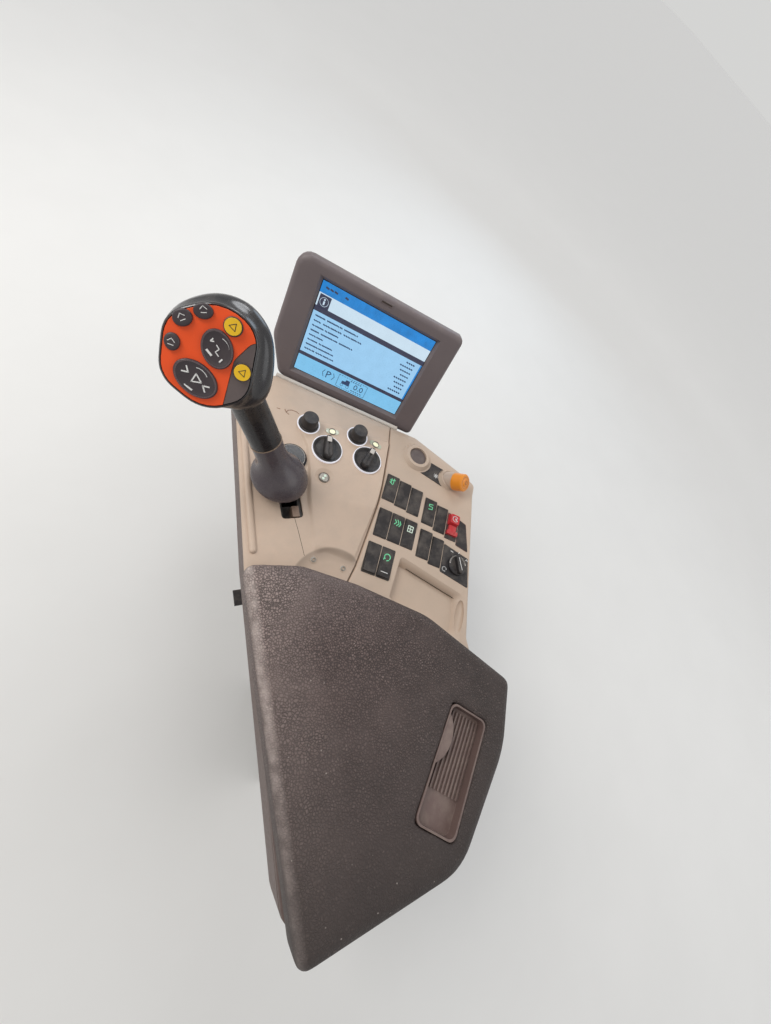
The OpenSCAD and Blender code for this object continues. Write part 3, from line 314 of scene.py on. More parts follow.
def leather(name, colour, lit_side, front, right, rear, rough):
    """Creased, grained vinyl with painted light: a painted highlight along the left side, lighter to the
    front, painted shade darker to the rear and right, and smoother to the rear and right
    """
    s = Shade(name)
    across = s.axis(s.place, 0)
    along = s.axis(s.place, 1)
    drift = s.times(s.noise(14, 4), 0.05)
    # Painted light: lighter towards the front; painted shade: darker to the right
    base = s.mix(s.span(along, 0.11, 0.19), colour, front)
    base = s.mix(s.span(s.calc("ADD", across, drift), 0.1, 0.24), base, right)
    # Painted highlight over the top faces of the left side
    top = s.span(s.axis(s.surface, 2), 0.1, 0.8, 0.3, 1)
    pale = s.times(s.span(s.calc("ADD", across, drift), 0.06, -0.012, 0, 0.85),
                   s.span(along, -0.09, 0.16, 0.3, 1))
    base = s.mix(s.times(pale, top), base, lit_side)
    # Painted shade: darker towards the rear
    base = s.mix(s.span(s.calc("ADD", along, drift), 0.15, -0.1, 0, 0.88), base, rear)
    darker = s.mix(1.0, base, (0.84, 0.84, 0.84), "MULTIPLY")
    base = s.mix(s.span(s.noise(26, 5, 0.65), 0.35, 0.7), darker, base)

    # Painted shade in the grain's creases, strongest towards the front; the same mask sinks them in the
    # bump
    border = s.creases(380, 0.0035)
    grained = s.times(s.span(along, -0.09, 0.09, 0.35, 1), s.span(s.noise(20, 4), 0.3, 0.6, 0.55, 1))
    deep = s.times(s.span(border, 0.16, 0.02), grained)
    base = s.mix(s.times(deep, 0.72), base, tone(40, 33, 31))
    # Painted highlight on the grain's crests, in the lit side's colour
    crest = s.times(s.span(border, 0.2, 0.45), grained)
    crest_highlight = s.times(crest, s.span(s.noise(110, 5, 0.7), 0.45, 0.68, 0, 0.5))
    base = s.mix(crest_highlight, base, lit_side)

    # Painted highlight along the rounded left edge, on its upper faces, fading to the rear
    line = s.times(s.span(across, -0.0205, -0.0265), s.span(s.noise(70, 4), 0.35, 0.6, 0.3, 0.8))
    line = s.times(line, s.span(s.axis(s.surface, 2), 0.15, 0.5))
    line = s.times(line, s.span(along, -0.12, 0.16, 0.2, 1))
    base = s.mix(line, base, tone(206, 190, 182))
    scuffs = s.times(s.span(s.noise(48, 7, 0.8), 0.64, 0.7), s.span(s.noise(7), 0.45, 0.6, 0, 0.5))
    base = s.mix(scuffs, base, tone(182, 168, 160))
    dots = s.times(s.span(s.cells(110), 0.09, 0.05), s.span(s.noise(30), 0.52, 0.6, 0, 0.6))
    base = s.mix(dots, base, tone(196, 184, 174))

    sheen = s.calc("ADD", s.span(crest, 0, 1, rough + 0.14, rough - 0.06),
                   s.span(s.noise(60, 4), 0.3, 0.7, -0.05, 0.06))
    s.set(Base_Color=base, Roughness=sheen)
    height = s.calc("SUBTRACT", s.span(s.noise(260, 4, 0.7), 0.2, 0.8, 0, 0.5), deep)
    height = s.calc("ADD", height, s.times(s.noise(2000, 2), 0.25))
    s.set(Normal=s.bump(height, 0.9, 0.0009))
    return s.material


def lit(name, colour, strength=1.0, body=(0.02, 0.02, 0.02), uneven=0.15):
    """A glowing face, for the backlit marks and screen and for the painted reflection on the knobs' rings:
    light that varies a little over it, under a satin cover
    """
    s = Shade(name)
    glow = s.mix(s.span(s.noise(90, 2), 0.3, 0.7), scaled(colour, 1 - uneven), colour)
    s.set(Base_Color=body, Emission_Color=glow, Emission_Strength=strength,
          Roughness=s.span(s.noise(500), 0.3, 0.7, 0.22, 0.38))
    return s.material


# Finishes of the slots
FINISHES = {
    "bracket_paint": dict(colour=tone(46, 45, 46), rough=0.45, grain=0.25, size=700, dust=0.4, wear=0.5,
                          worn=tone(120, 116, 112)),
    "zinc_steel": dict(colour=tone(176, 170, 160), rough=0.34, metal=0.9, grain=0.12, size=900, spread=0.2,
                       dust=0.15, wear=0.35, worn=tone(225, 220, 212)),
    "black_plastic": dict(colour=tone(40, 37, 38), rough=0.46, dust=0.22, specks=0.3, wear=0.35,
                          worn=tone(96, 90, 88)),
    "rocker_plastic": dict(colour=tone(42, 37, 36), rough=0.42, grain=0.3, dust=0.2, specks=0.35,
                           wear=0.55, worn=tone(112, 101, 94), radius=0.0004),
    "gloss_black": dict(colour=tone(30, 32, 38), rough=0.12, grain=0.02, dust=0.12, specks=0.5, coat=0.8,
                        wear=0.2, worn=tone(120, 122, 128)),
    "red_guard": dict(colour=tone(196, 46, 52), rough=0.42, dust=0.25, wear=0.5, worn=tone(236, 120, 118),
                      foot=(GUARD_FOOT, tone(48, 42, 41))),
    "orange_cap": dict(colour=tone(238, 146, 34), rough=0.36, dust=0.1, grain=0.08, wear=0.4,
                       worn=tone(250, 190, 110), coat=0.2),
    "orange_face": dict(colour=tone(246, 84, 20), rough=0.42, dust=0.04, grain=0.1, size=1100, wear=0.3,
                        worn=tone(250, 140, 90), spread=0.06),
    "grey_plastic": dict(colour=tone(96, 84, 82), rough=0.46, dust=0.2, grain=0.25, wear=0.4,
                         worn=tone(150, 140, 134)),
    "yellow_button": dict(colour=tone(246, 196, 30), rough=0.38, dust=0.06, grain=0.06, wear=0.3,
                          worn=tone(255, 226, 130)),
    "lamp_white": dict(colour=tone(196, 200, 176), rough=0.2, dust=0.06, grain=0.03, coat=0.4, wear=0.2),
    # The main panel's beige; dished=True darkens the hollow's front rim as painted shade
    "beige_plastic": dict(colour=tone(206, 182, 161), rough=0.46, grain=0.22, size=1300, spread=0.09,
                          patch=9, dust=0.16, wear=0.35, worn=tone(232, 214, 196), radius=0.0012,
                          specks=0.3, dished=True),
    "brown_plastic": dict(colour=tone(98, 80, 74), rough=0.5, grain=0.35, size=1000, dust=0.25, wear=0.4,
                          worn=tone(150, 130, 118), specks=0.25, radius=0.001),
    "monitor_plastic": dict(colour=tone(112, 101, 101), rough=0.5, grain=0.3, size=1200, spread=0.06,
                            dust=0.2, wear=0.45, worn=tone(172, 154, 146), radius=0.001),
    "screen_glass": dict(colour=tone(20, 34, 52), rough=0.16, grain=0.02, dust=0.08, coat=0.6, wear=0.0),
}
LOOKS = {name: finish_of(name, **finish) for name, finish in FINISHES.items()}
# Pad colours: its own, then a painted highlight on the left side, painted light at the front, and painted
# shade to the right and at the rear
LOOKS["pad_vinyl"] = leather("pad_vinyl", tone(112, 94, 89), tone(176, 156, 148), tone(132, 116, 111),
                             tone(86, 72, 67), tone(48, 40, 36), 0.46)

# Finishes of nodes and pieces that differ from their slot's
# The switch panel's beige, darker than the main panel's as painted shade
SWITCH_BEIGE_SHADED = finish_of("switch_beige_shaded", tone(196, 174, 154), 0.5, grain=0.22, size=1300, spread=0.06,
                         patch=11, dust=0.14, wear=0.35, worn=tone(226, 208, 190), radius=0.001,
                         specks=0.2)
BOOT = finish_of("boot_plastic", tone(82, 74, 77), 0.25, grain=0.1, dust=0.16, wear=0.0, spread=0.08,
                 specks=0.2, radius=0)
STALK = finish_of("stalk_plastic", tone(40, 37, 39), 0.3, grain=0.16, size=500, dust=0.25, wear=0.0,
                  specks=0.7, spread=0.2, radius=0)
HEAD_BLACK = finish_of("head_plastic", tone(34, 31, 33), 0.27, grain=0.12, size=700, dust=0.1, wear=0.0,
                       coat=0.6, specks=0.3, radius=0)
# Lighter rings on the head pads' crests: painted highlight
PAD_RIM_PAINTED_HIGHLIGHT = finish_of("pad_rim_painted_highlight", tone(104, 90, 92), 0.3, grain=0.08, dust=0.1, wear=0.0, radius=0, coat=0.3)
HEAD_GREY = finish_of("head_pad_plastic", tone(62, 53, 56), 0.38, grain=0.12, dust=0.12, wear=0.3,
                      worn=tone(150, 138, 136))
RECESS_BROWN = finish_of("recess_plastic", tone(112, 92, 86), 0.52, grain=0.35, size=1000, dust=0.3,
                         wear=0.4, worn=tone(150, 132, 122), specks=0.25)
COLLAR = finish_of("collar_metal", tone(196, 176, 160), 0.36, metal=0.2, grain=0.03, dust=0.1, wear=0.0,
                   radius=0)
WORN_BLOCK = finish_of("worn_block", tone(158, 132, 114), 0.5, metal=0.2, grain=0.4, size=600, spread=0.2,
                       dust=0.3, wear=0.5, worn=tone(206, 184, 166))
DIAL_GLASS = finish_of("dial_glass", tone(22, 24, 30), 0.2, grain=0.02, dust=0.12, specks=0.5, wear=0.0)
# Dark colour laid into gaps, slots and joints: painted shade
CREVICE_SHADE = finish_of("crevice_shade", tone(70, 58, 50), 0.8, grain=0.2, dust=0.1, wear=0.0, spread=0.25)
TAN_SEAM = finish_of("seam_tan", tone(170, 146, 124), 0.6, grain=0.3, dust=0.1, wear=0.0, spread=0.2)
SYMBOL_WHITE = finish_of("symbol_white", tone(232, 230, 226), 0.5, grain=0.1, dust=0.1, wear=0.0)
SYMBOL_DARK = finish_of("symbol_dark", tone(52, 44, 40), 0.5, grain=0.1, dust=0.1, wear=0.0)
ARROW_BROWN = finish_of("arrow_brown", tone(150, 108, 84), 0.6, grain=0.1, dust=0.1, wear=0.0)
# Pale colour of the far-edge bead: painted highlight on the rounded edge
RIM_PAINTED_HIGHLIGHT = finish_of("rim_painted_highlight", tone(214, 202, 190), 0.4, grain=0.15, dust=0.2, wear=0.3, radius=0.001)
PALE_BLOCK = finish_of("pale_block", tone(206, 198, 190), 0.5, grain=0.1, dust=0.1, wear=0.2)
GREEN_LIT = lit("green_lit", tone(112, 214, 158))
WHITE_LIT = lit("white_lit", tone(214, 232, 214))
# The knobs' and selectors' pale rings glow as a painted reflection of light on their rims
RING_PAINTED_REFLECTION = lit("ring_painted_reflection", tone(230, 228, 236), 0.62, body=(0.5, 0.5, 0.52), uneven=0.3)
LAMP_LIT = lit("lamp_lit", tone(252, 252, 214), 1.1)


# Forms


def mesh_object(name, points, faces, shades, kinds=None, smooth=35):
    mesh = bpy.data.meshes.new(name)
    mesh.from_pydata(points, [], faces)
    for shade in shades:
        mesh.materials.append(shade)
    if kinds:
        mesh.polygons.foreach_set("material_index", kinds)
    if smooth:
        mesh.shade_smooth()
        mesh.set_sharp_from_angle(angle=math.radians(smooth))
    mesh.update()
    made = bpy.data.objects.new(name, mesh)
    scene.collection.objects.link(made)
    return made


def refill(form):
    """Fills a level area anew where its triangles lie over one another"""
    level = {face for face in form.faces if abs(face.normal.z) > 0.9999}
    while level:
        start = level.pop()
        area = {start}
        queue = [start]
        while queue:
            for edge in queue.pop().edges:
                for other in edge.link_faces:
                    if other in level:
                        level.discard(other)
                        area.add(other)
                        queue.append(other)
        if all(face.normal.z * start.normal.z > 0 for face in area):
            continue
        upward = sum(face.normal.z * face.calc_area() for face in area)
        rim = {edge for face in area for edge in face.edges
               if sum(other in area for other in edge.link_faces) == 1}
        bmesh.ops.delete(form, geom=list(area), context="FACES_ONLY")
        made = bmesh.ops.triangle_fill(form, use_beauty=True, edges=list(rim),
                                       normal=(0, 0, 1 if upward > 0 else -1))
        for face in made["geom"]:
            if isinstance(face, bmesh.types.BMFace):
                face.normal_update()
                if face.normal.z * upward < 0:
                    face.normal_flip()


def merged(node):
    """The node's mesh with its points joined, as lists of points and faces"""
    form = bmesh.new()
    form.from_mesh(node.data)
    bmesh.ops.remove_doubles(form, verts=form.verts, dist=0.00002)
    form.normal_update()
    refill(form)
    form.verts.ensure_lookup_table()
    form.verts.index_update()
    points = [tuple(v.co) for v in form.verts]
    faces = [[v.index for v in face.verts] for face in form.faces]
    form.free()
    return points, faces


def twin(name, shade, angle, even=True):
    """A smoothly shaded copy of a node's form, which stands for it"""
    points, faces = merged(nodes[name])
    made = mesh_object(name + "_skin", points, faces, [shade], smooth=angle)
    if even:
        made.modifiers.new("even_normals", "WEIGHTED_NORMAL").keep_sharp = True
    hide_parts(name)
    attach(made, body_of(nodes[name])[0])


def angles(count):
    """Even angles of a whole turn"""
    return [2 * math.pi * i / count for i in range(count)]


def placed(path, centre, turn):
    """A path turned by degrees and moved to a centre"""
    c = math.cos(math.radians(turn))
    s = math.sin(math.radians(turn))
    return [(centre[0] + x * c - y * s, centre[1] + x * s + y * c) for x, y in path]


def arc(centre, radius, start, end, steps=10):
    turns = [math.radians(start + (end - start) * k / steps) for k in range(steps + 1)]
    return [(centre[0] + radius * math.cos(a), centre[1] + radius * math.sin(a)) for a in turns]


def oval(wide, deep, steps):
    """A closed path round an ellipse"""
    turns = [2 * math.pi * k / steps for k in range(steps + 1)]
    return [(wide * math.cos(a), deep * math.sin(a)) for a in turns]


def corners(plan, steps=6):
    """Outline of a plan of x, y and corner radius"""
    outline = []
    count = len(plan)
    for i, (x, y, radius) in enumerate(plan):
        here = Vector((x, y))
        back = (Vector(plan[i - 1][:2]) - here).normalized()
        ahead = (Vector(plan[(i + 1) % count][:2]) - here).normalized()
        half = math.acos(max(-1, min(1, back.dot(ahead)))) / 2
        inward = (back + ahead).normalized()
        centre = here + inward * radius / math.sin(half)
        a = here + back * radius / math.tan(half) - centre
        b = here + ahead * radius / math.tan(half) - centre
        start = math.atan2(a.y, a.x)
        sweep = (math.atan2(b.y, b.x) - start + math.pi) % (2 * math.pi) - math.pi
        outline += [(centre.x + radius * math.cos(start + sweep * k / steps),
                     centre.y + radius * math.sin(start + sweep * k / steps)) for k in range(steps + 1)]
    return outline


def reach_to(path, centre, angle):
    """Distance from centre to a closed path in one direction"""
    d = Vector((math.cos(angle), math.sin(angle)))
    best = 0
    for i, p in enumerate(path):
        q = path[(i + 1) % len(path)]
        e = Vector((q[0] - p[0], q[1] - p[1]))
        w = Vector((p[0] - centre[0], p[1] - centre[1]))
        cross = d.x * e.y - d.y * e.x
        if abs(cross) < 1e-9:
            continue
        along = (w.x * e.y - w.y * e.x) / cross
        part = (w.x * d.y - w.y * d.x) / cross
        if along > 0 and -1e-6 <= part <= 1 + 1e-6:
            best = max(best, along)
    return best


class Pieces:
    """Closed forms of several finishes, gathered into one object"""

    def __init__(self, name):
        self.name = name
        self.points = []
        self.faces = []
        self.kinds = []
        self.shades = []

    def kind_of(self, shade):
        if shade not in self.shades:
            self.shades.append(shade)
        return self.shades.index(shade)

    def loft(self, place, rings, shade):
        """A closed form through rings of as many points, each a point of x, y, z"""
        kind = self.kind_of(shade)
        first = len(self.points)
        count = len(rings[0])
        for ring in rings:
            self.points += [tuple(place @ Vector(p)) for p in ring]
        faces = [[first + i for i in reversed(range(count))]]
        for k in range(len(rings) - 1):
            a = first + k * count
            faces += [[a + i, a + (i + 1) % count, a + count + (i + 1) % count, a + count + i]
                      for i in range(count)]
        last = first + (len(rings) - 1) * count
        faces.append([last + i for i in range(count)])
        self.faces += faces
        self.kinds += [kind] * len(faces)

    def prism(self, place, path, low, high, shade, soft=0.0):
        """A straight form over a path, its upper edge taken in if soft"""
        rings = [[(x, y, low) for x, y in path]]
        top = path
        if soft:
            rings.append([(x, y, high - soft) for x, y in path])
            cx = sum(x for x, _ in path) / len(path)
            cy = sum(y for _, y in path) / len(path)
            top = []
            for x, y in path:
                reach = max(1, abs(cx - x) + abs(cy - y))
                top.append((x + (cx - x) * soft / reach, y + (cy - y) * soft / reach))
        rings.append([(x, y, high) for x, y in top])
        self.loft(place, rings, shade)

    def plate(self, place, x0, y0, x1, y1, low, high, shade, soft=0.0):
        self.prism(place, [(x0, y0), (x1, y0), (x1, y1), (x0, y1)], low, high, shade, soft)

    def stroke(self, place, path, width, low, high, shade):
        """A line of even width along a path, as one box a run"""
        for (ax, ay), (bx, by) in zip(path, path[1:]):
            run = Vector((bx - ax, by - ay))
            if run.length < 1e-6:
                continue
            along = run.normalized() * width * 0.3
            side = Vector((-run.y, run.x)).normalized() * width / 2
            a = Vector((ax, ay)) - along
            b = Vector((bx, by)) + along
            self.prism(place, [tuple(a + side), tuple(a - side), tuple(b - side), tuple(b + side)],
                       low, high, shade)

    def turned(self, place, centre, rows, shade, count=40, wide=1.0, deep=1.0, turn=0.0):
        """A closed turned form from rows of radius and height, stretched across if asked"""
        rings = []
        for radius, height in rows:
            ring = [(radius * wide * math.cos(a), radius * deep * math.sin(a)) for a in angles(count)]
            rings.append([(x, y, height) for x, y in placed(ring, centre, turn)])
        self.loft(place, rings, shade)

    def ring(self, place, centre, inner, outer, low, high, shade, count=48):
        """A flat-sided ring with a rounded crest"""
        kind = self.kind_of(shade)
        first = len(self.points)
        middle = (inner + outer) / 2
        rows = ((inner, low), (inner, high - 0.25 * (outer - inner)), (middle, high),
                (outer, high - 0.25 * (outer - inner)), (outer, low))
        for a in angles(count):
            for radius, height in rows:
                self.points.append(tuple(place @ Vector((centre[0] + radius * math.cos(a),
                                                         centre[1] + radius * math.sin(a), height))))
        n = len(rows)
        for i in range(count):
            here = first + i * n
            ahead = first + (i + 1) % count * n
            for k in range(n):
                up = (k + 1) % n
                self.faces.append([here + k, here + up, ahead + up, ahead + k])
                self.kinds.append(kind)

    def screw(self, place, centre, radius, height, shade):
        """A round head with a rounded rim and a hexagonal hole"""
        rows = ((1.0, 0.0, 0), (1.0, 0.45, 0), (0.92, 0.8, 0), (0.7, 1.0, 0), (0.5, 1.0, 1),
                (0.47, 0.35, 1))
        rings = []
        for share, level, six in rows:
            ring = []
            for a in angles(24):
                flat = math.cos(math.pi / 6) / math.cos((a % (math.pi / 3)) - math.pi / 6) if six else 1
                ring.append((centre[0] + radius * share * flat * math.cos(a),
                             centre[1] + radius * share * flat * math.sin(a), centre[2] + height * level))
            rings.append(ring)
        self.loft(place, rings, shade)

    def done(self, body, smooth=35):
        made = mesh_object(self.name, self.points, self.faces, self.shades, self.kinds, smooth)
        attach(made, body)
        return made


SLOT_OF = {entry["node"]: entry["material_slot"] for entry in frame["record"]["subparts"]}
for name, node in nodes.items():
    node.data.materials.clear()
    node.data.materials.append(LOOKS[SLOT_OF[name]])

# Smoothly shaded skins of the moulded parts
twin("main_panel", LOOKS["beige_plastic"], 24, False)
# The switch panel in a darker beige: painted shade
twin("switch_panel", SWITCH_BEIGE_SHADED, 30, False)
for name, angle in (("bin", 42), ("shell", 42), ("monitor_bezel", 38), ("monitor_shell", 38),
                    ("selector_left", 38), ("selector_right", 38)):
    twin(name, LOOKS[SLOT_OF[name]], angle)
twin("pad_insert", RECESS_BROWN, 38)
for name, shade in (("pad_tab", RECESS_BROWN), ("push_collar", COLLAR), ("dial", DIAL_GLASS),
                    ("gate_stop", WORN_BLOCK)):
    nodes[name].data.materials[0] = shade


# Cushion of the armrest lid, with its crown's rise, its waves and its recess's sink
CROWN = 3.2
WAVE = 0.5
SINK = 1.6
RECESS_HALF = (25, 59)
MM = 0.001


def edge_distance(path, x, y):
    best = 1e9
    for i, p in enumerate(path):
        q = path[(i + 1) % len(path)]
        e = Vector((q[0] - p[0], q[1] - p[1]))
        w = Vector((x - p[0], y - p[1]))
        t = max(0, min(1, w.dot(e) / max(e.length_squared, 1e-9)))
        best = min(best, (w - e * t).length)
    return best


def cushion():
    points, faces = merged(nodes["pad"])
    made = mesh_object("armrest_cushion", points, faces, [LOOKS["pad_vinyl"]], smooth=0)
    remesh = made.modifiers.new("remesh", "REMESH")
    remesh.mode = "VOXEL"
    remesh.voxel_size = 0.0028
    soften = made.modifiers.new("soften", "SMOOTH")
    soften.factor = 0.5
    soften.iterations = 6
    shaped = made.evaluated_get(bpy.context.evaluated_depsgraph_get())
    mesh = bpy.data.meshes.new_from_object(shaped)
    made.modifiers.clear()
    made.data = mesh
    mesh.materials.clear()
    mesh.materials.append(LOOKS["pad_vinyl"])
    plan = corners(PAD_PLAN)
    back = CONSOLE.inverted()
    recess_back = RECESS.inverted()
    for vertex in mesh.vertices:
        p = back @ vertex.co
        local = recess_back @ vertex.co
        inside = max(abs(local.x) - RECESS_HALF[0], abs(local.y) - RECESS_HALF[1])
        if p.z > -14 and inside > 0:
            edge = edge_distance(plan, p.x, p.y)
            crown = CROWN * (1 - math.exp(-max(0, edge - 6) / 34)) * (1 - math.exp(-inside / 7))
            wave = WAVE * math.sin(p.x / 31 + 0.6) * math.sin(p.y / 43 + 1.1)
            vertex.co.z += (crown + wave * min(1, edge / 20)) * MM
        elif inside <= 0 and p.z > -30:
            sink = SINK * min(1, -inside / 2.5)
            vertex.co.z -= sink * MM
    mesh.shade_smooth()
    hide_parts("pad")
    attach(made, "lid")


cushion()


# Lever head, its sections by plan, growth, height and share of the way to another plan
HEAD_ROWS = ((FACE_PLAN, 0.35, -3.4), (FACE_PLAN, 0.35, -1.4), (FACE_PLAN, 0.9, -0.8),
             (FACE_PLAN, 1.8, -1.2), (FACE_PLAN, 2.7, -2.8), (FACE_PLAN, 3.1, -5.5),
             (FACE_PLAN, 2.2, -9, 0.45, BODY_PLAN), (FACE_PLAN, 0.6, -13, 0.85, BODY_PLAN),
             (BODY_PLAN, 0, -17), (BODY_PLAN, 0, -21), (BODY_PLAN, -1, -24.5),
             (BODY_PLAN, 0, -29, 0.55, FACE_PLAN), (BODY_PLAN, 0, -32.4, 0.9, FACE_PLAN),
             (BODY_PLAN, -3, -34, 1, FACE_PLAN))
LARGE_PAD = ((1, -0.2), (1, 1.1), (0.97, 2.0), (0.92, 2.5), (0.86, 2.45), (0.8, 2.0), (0.66, 1.6),
             (0.35, 1.45), (0.05, 1.4))
SMALL_PAD = ((1, -0.2), (1, 1.3), (0.94, 2.1), (0.84, 2.5), (0.5, 2.5), (0.05, 2.45))
PAD_CREST = 0.91


def head_ring(plan, grow, height, share=0, other=None, count=96):
    """Ring of the head's shell at a height: a plan, or a share of the way to another, moved out by grow"""
    centre = (5, 2)
    path = corners(plan)
    second = corners(other) if other else None
    if other is FACE_PLAN:
        second = [(8 + 0.7 * x, 11 + 0.68 * y) for x, y in second]
    reaches = []
    for a in angles(count):
        r = reach_to(path, centre, a)
        if second:
            r = r * (1 - share) + reach_to(second, centre, a) * share
        reaches.append(r + grow)
    # The deeper a section lies, the more neighbours it is smoothed over
    wide = 0 if height > -5 else 3 if height > -8 else 6
    ring = []
    for i, a in enumerate(angles(count)):
        r = sum(reaches[(i + k) % count] for k in range(-wide, wide + 1)) / (2 * wide + 1)
        ring.append((centre[0] + r * math.cos(a), centre[1] + r * math.sin(a), height))
    return ring


def lever_head():
    shell = Pieces("head_shell")
    shell.loft(HEAD, [head_ring(*row) for row in reversed(HEAD_ROWS)], HEAD_BLACK)
    made = shell.done("lever", 70)
    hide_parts("lever_head")

    pads = Pieces("head_pad_forms")
    for x, y, wide, deep, turn in HEAD_PADS:
        pads.turned(HEAD, (x, y), LARGE_PAD if wide > 10 else SMALL_PAD, HEAD_GREY, 48, wide, deep, turn)
    made = pads.done("lever", 50)
    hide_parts("head_pads")


def head_marks():
    marks = Pieces("head_symbols")

    def mark(path, width, height, shade=SYMBOL_WHITE):
        marks.stroke(HEAD, path, width, height - 0.25, height + 0.12, shade)

    def triangle(x, y, size, turn, width, height, shade=SYMBOL_WHITE):
        mark(arc((x, y), size, turn, turn + 360, 3), width, height, shade)

    # Lighter rings on the large pads' crests: painted highlight
    for x, y, wide, deep, turn in HEAD_PADS[3:]:
        crest = oval(wide * PAD_CREST, deep * PAD_CREST, 56)
        marks.stroke(HEAD, placed(crest, (x, y), turn), 1.1, 2.0, 2.62, PAD_RIM_PAINTED_HIGHLIGHT)
    x, y = -3.2, -20.7
    triangle(x + 0.5, y, 4.4, 100, 1.1, 1.55)
    for turn in (150, -30):
        tip = placed([(7.2, 0)], (x, y), turn)[0]
        for side in (-35, 35):
            leg = math.radians(turn + side)
            mark([tip, (tip[0] + 5 * math.cos(leg), tip[1] + 5 * math.sin(leg))], 1.2, 1.65)
    mark(arc((x, y), 9.2, 30, 95, 8), 0.7, 1.7)
    mark([(x - 7.5, y - 7.2), (x - 1.5, y - 9.6)], 1.6, 1.75)
    x, y = 8.3, 7.9
    mark([(x - 1, y + 3), (x + 1.5, y + 0.5), (x - 1, y - 2.5), (x + 2, y - 5)], 0.8, 1.55)
    mark([(x - 4.5, y + 7), (x - 6, y + 4.5), (x - 3.5, y + 5)], 1.0, 1.6)
    mark(arc((x, y), 9.6, 20, 75, 8), 0.6, 1.75)
    mark([(x - 7.5, y - 3), (x - 3.5, y - 6)], 1.8, 1.7)
    mark([(x + 3.5, y - 9), (x + 5, y - 6.5)], 1.2, 1.75)
    for x, y, turn in ((-20.4, 22, 40), (-6.5, 33, 20), (-24.8, 1.6, 0)):
        for path in ([(-2.6, 0.2), (0, 2.6), (2.6, 0.2)], [(-2, -2.2), (2, -2.2)]):
            mark(placed(path, (x, y), turn), 0.6, 2.5)
    for x, y, top in HEAD_BUTTONS:
        triangle(x + 0.4, y, 3.4, 60, 0.55, top, SYMBOL_DARK)
        marks.ring(HEAD, (x, y), 6.5, 7.6, -0.4, 1.1, HEAD_GREY)
    marks.done("lever", 30)


lever_head()
head_marks()


# Marks, lights, screws and trim on the console's panels


def place_in(row, k):
    return row[0] + k * ROCKER_PITCH, row[1] - k * row[2]


def panel_trim():
    trim = Pieces("panel_trim")
    # Pale rings round the knobs and selectors, glowing as painted reflection
    for x, y in KNOBS:
        trim.ring(CONSOLE, (x, y), 14.7, 16.6, FIELD - 0.3, FIELD + 0.9, RING_PAINTED_REFLECTION)
    for x, y, turn in SELECTORS:
        trim.ring(CONSOLE, (x, y), 21.0, 22.4, FIELD - 0.3, FIELD + 3.2, RING_PAINTED_REFLECTION)
        knob = frame_at(CONSOLE, (x, y, FIELD), ("Z", turn))
        trim.plate(knob, -3.3, 6.2, 3.3, 14.8, 12.6, 13.6, PALE_BLOCK, 0.3)
    trim.ring(CONSOLE, DIAL, 17.2, 17.8, FIELD - 0.2, FIELD + 0.25, PALE_BLOCK)
    trim.ring(CONSOLE, DIAL, 20.0, 20.9, DECK - 0.2, DECK + 1.2, LOOKS["black_plastic"])
    for x, y, turn in LAMPS:
        lamp = frame_at(CONSOLE, (x, y, FIELD + 0.8), ("Z", turn))
        trim.turned(lamp, (0, 0), ((1, -0.3), (0.96, 0.3), (0.8, 0.6), (0.4, 0.75), (0.05, 0.8)), LAMP_LIT,
                    32, 4.6, 3.2)
        trim.ring(lamp, (0, 0), 4.7, 5.5, -0.3, 0.5, LOOKS["grey_plastic"])
    top = FIELD - 0.5
    for dx, dy in ((-1.9, -1.7), (1.6, 1.9)):
        x, y = FINGER_DISH[0] + dx, FINGER_DISH[1] + dy
        trim.plate(CONSOLE, x - 1.7, y - 1.7, x + 1.7, y + 1.7, top - 0.2, top + 0.12, WHITE_LIT)
    trim.ring(CONSOLE, FINGER_DISH, 6.3, 6.9, top - 0.8, top + 0.1, LOOKS["grey_plastic"])
    for x, y in ((87.5, 12.5), (123.9, -4.5)):
        trim.ring(CONSOLE, (x, y), 3.6, 5.2, DECK - 0.3, DECK + 0.5, LOOKS["beige_plastic"])
        trim.screw(CONSOLE, (x, y, DECK - 0.6), 3.6, 1.6, LOOKS["zinc_steel"])
    # Bead along the panel's far edge, pale as a painted highlight on its rounded edge
    edge = [(86, 300), (266, 214.4)]
    for low, high, wide in ((-67, -61, 8), (-64, -59.6, 6.6), (-64, -58.8, 4.6)):
        trim.stroke(CONSOLE, edge, wide, low, high, RIM_PAINTED_HIGHLIGHT)
    # Dark parting line drawn on the deck: painted shade of the joint
    parting = [(73, 70), (74.6, 55), (75.8, 38), (77, 19)]
    trim.stroke(CONSOLE, parting, 0.55, DECK - 0.2, DECK + 0.04, CREVICE_SHADE)
    for arrow, wide in (([(87, 231), (90.5, 234.5), (96, 235), (102, 232.5), (105, 229)], 1.1),
                        ([(90.5, 227.5), (87, 231), (86, 236)], 1.1), ([(79, 236), (75, 237.5)], 1.3)):
        trim.stroke(CONSOLE, arrow, wide, DECK - 0.2, DECK + 0.05, ARROW_BROWN)
    trim.done("console")


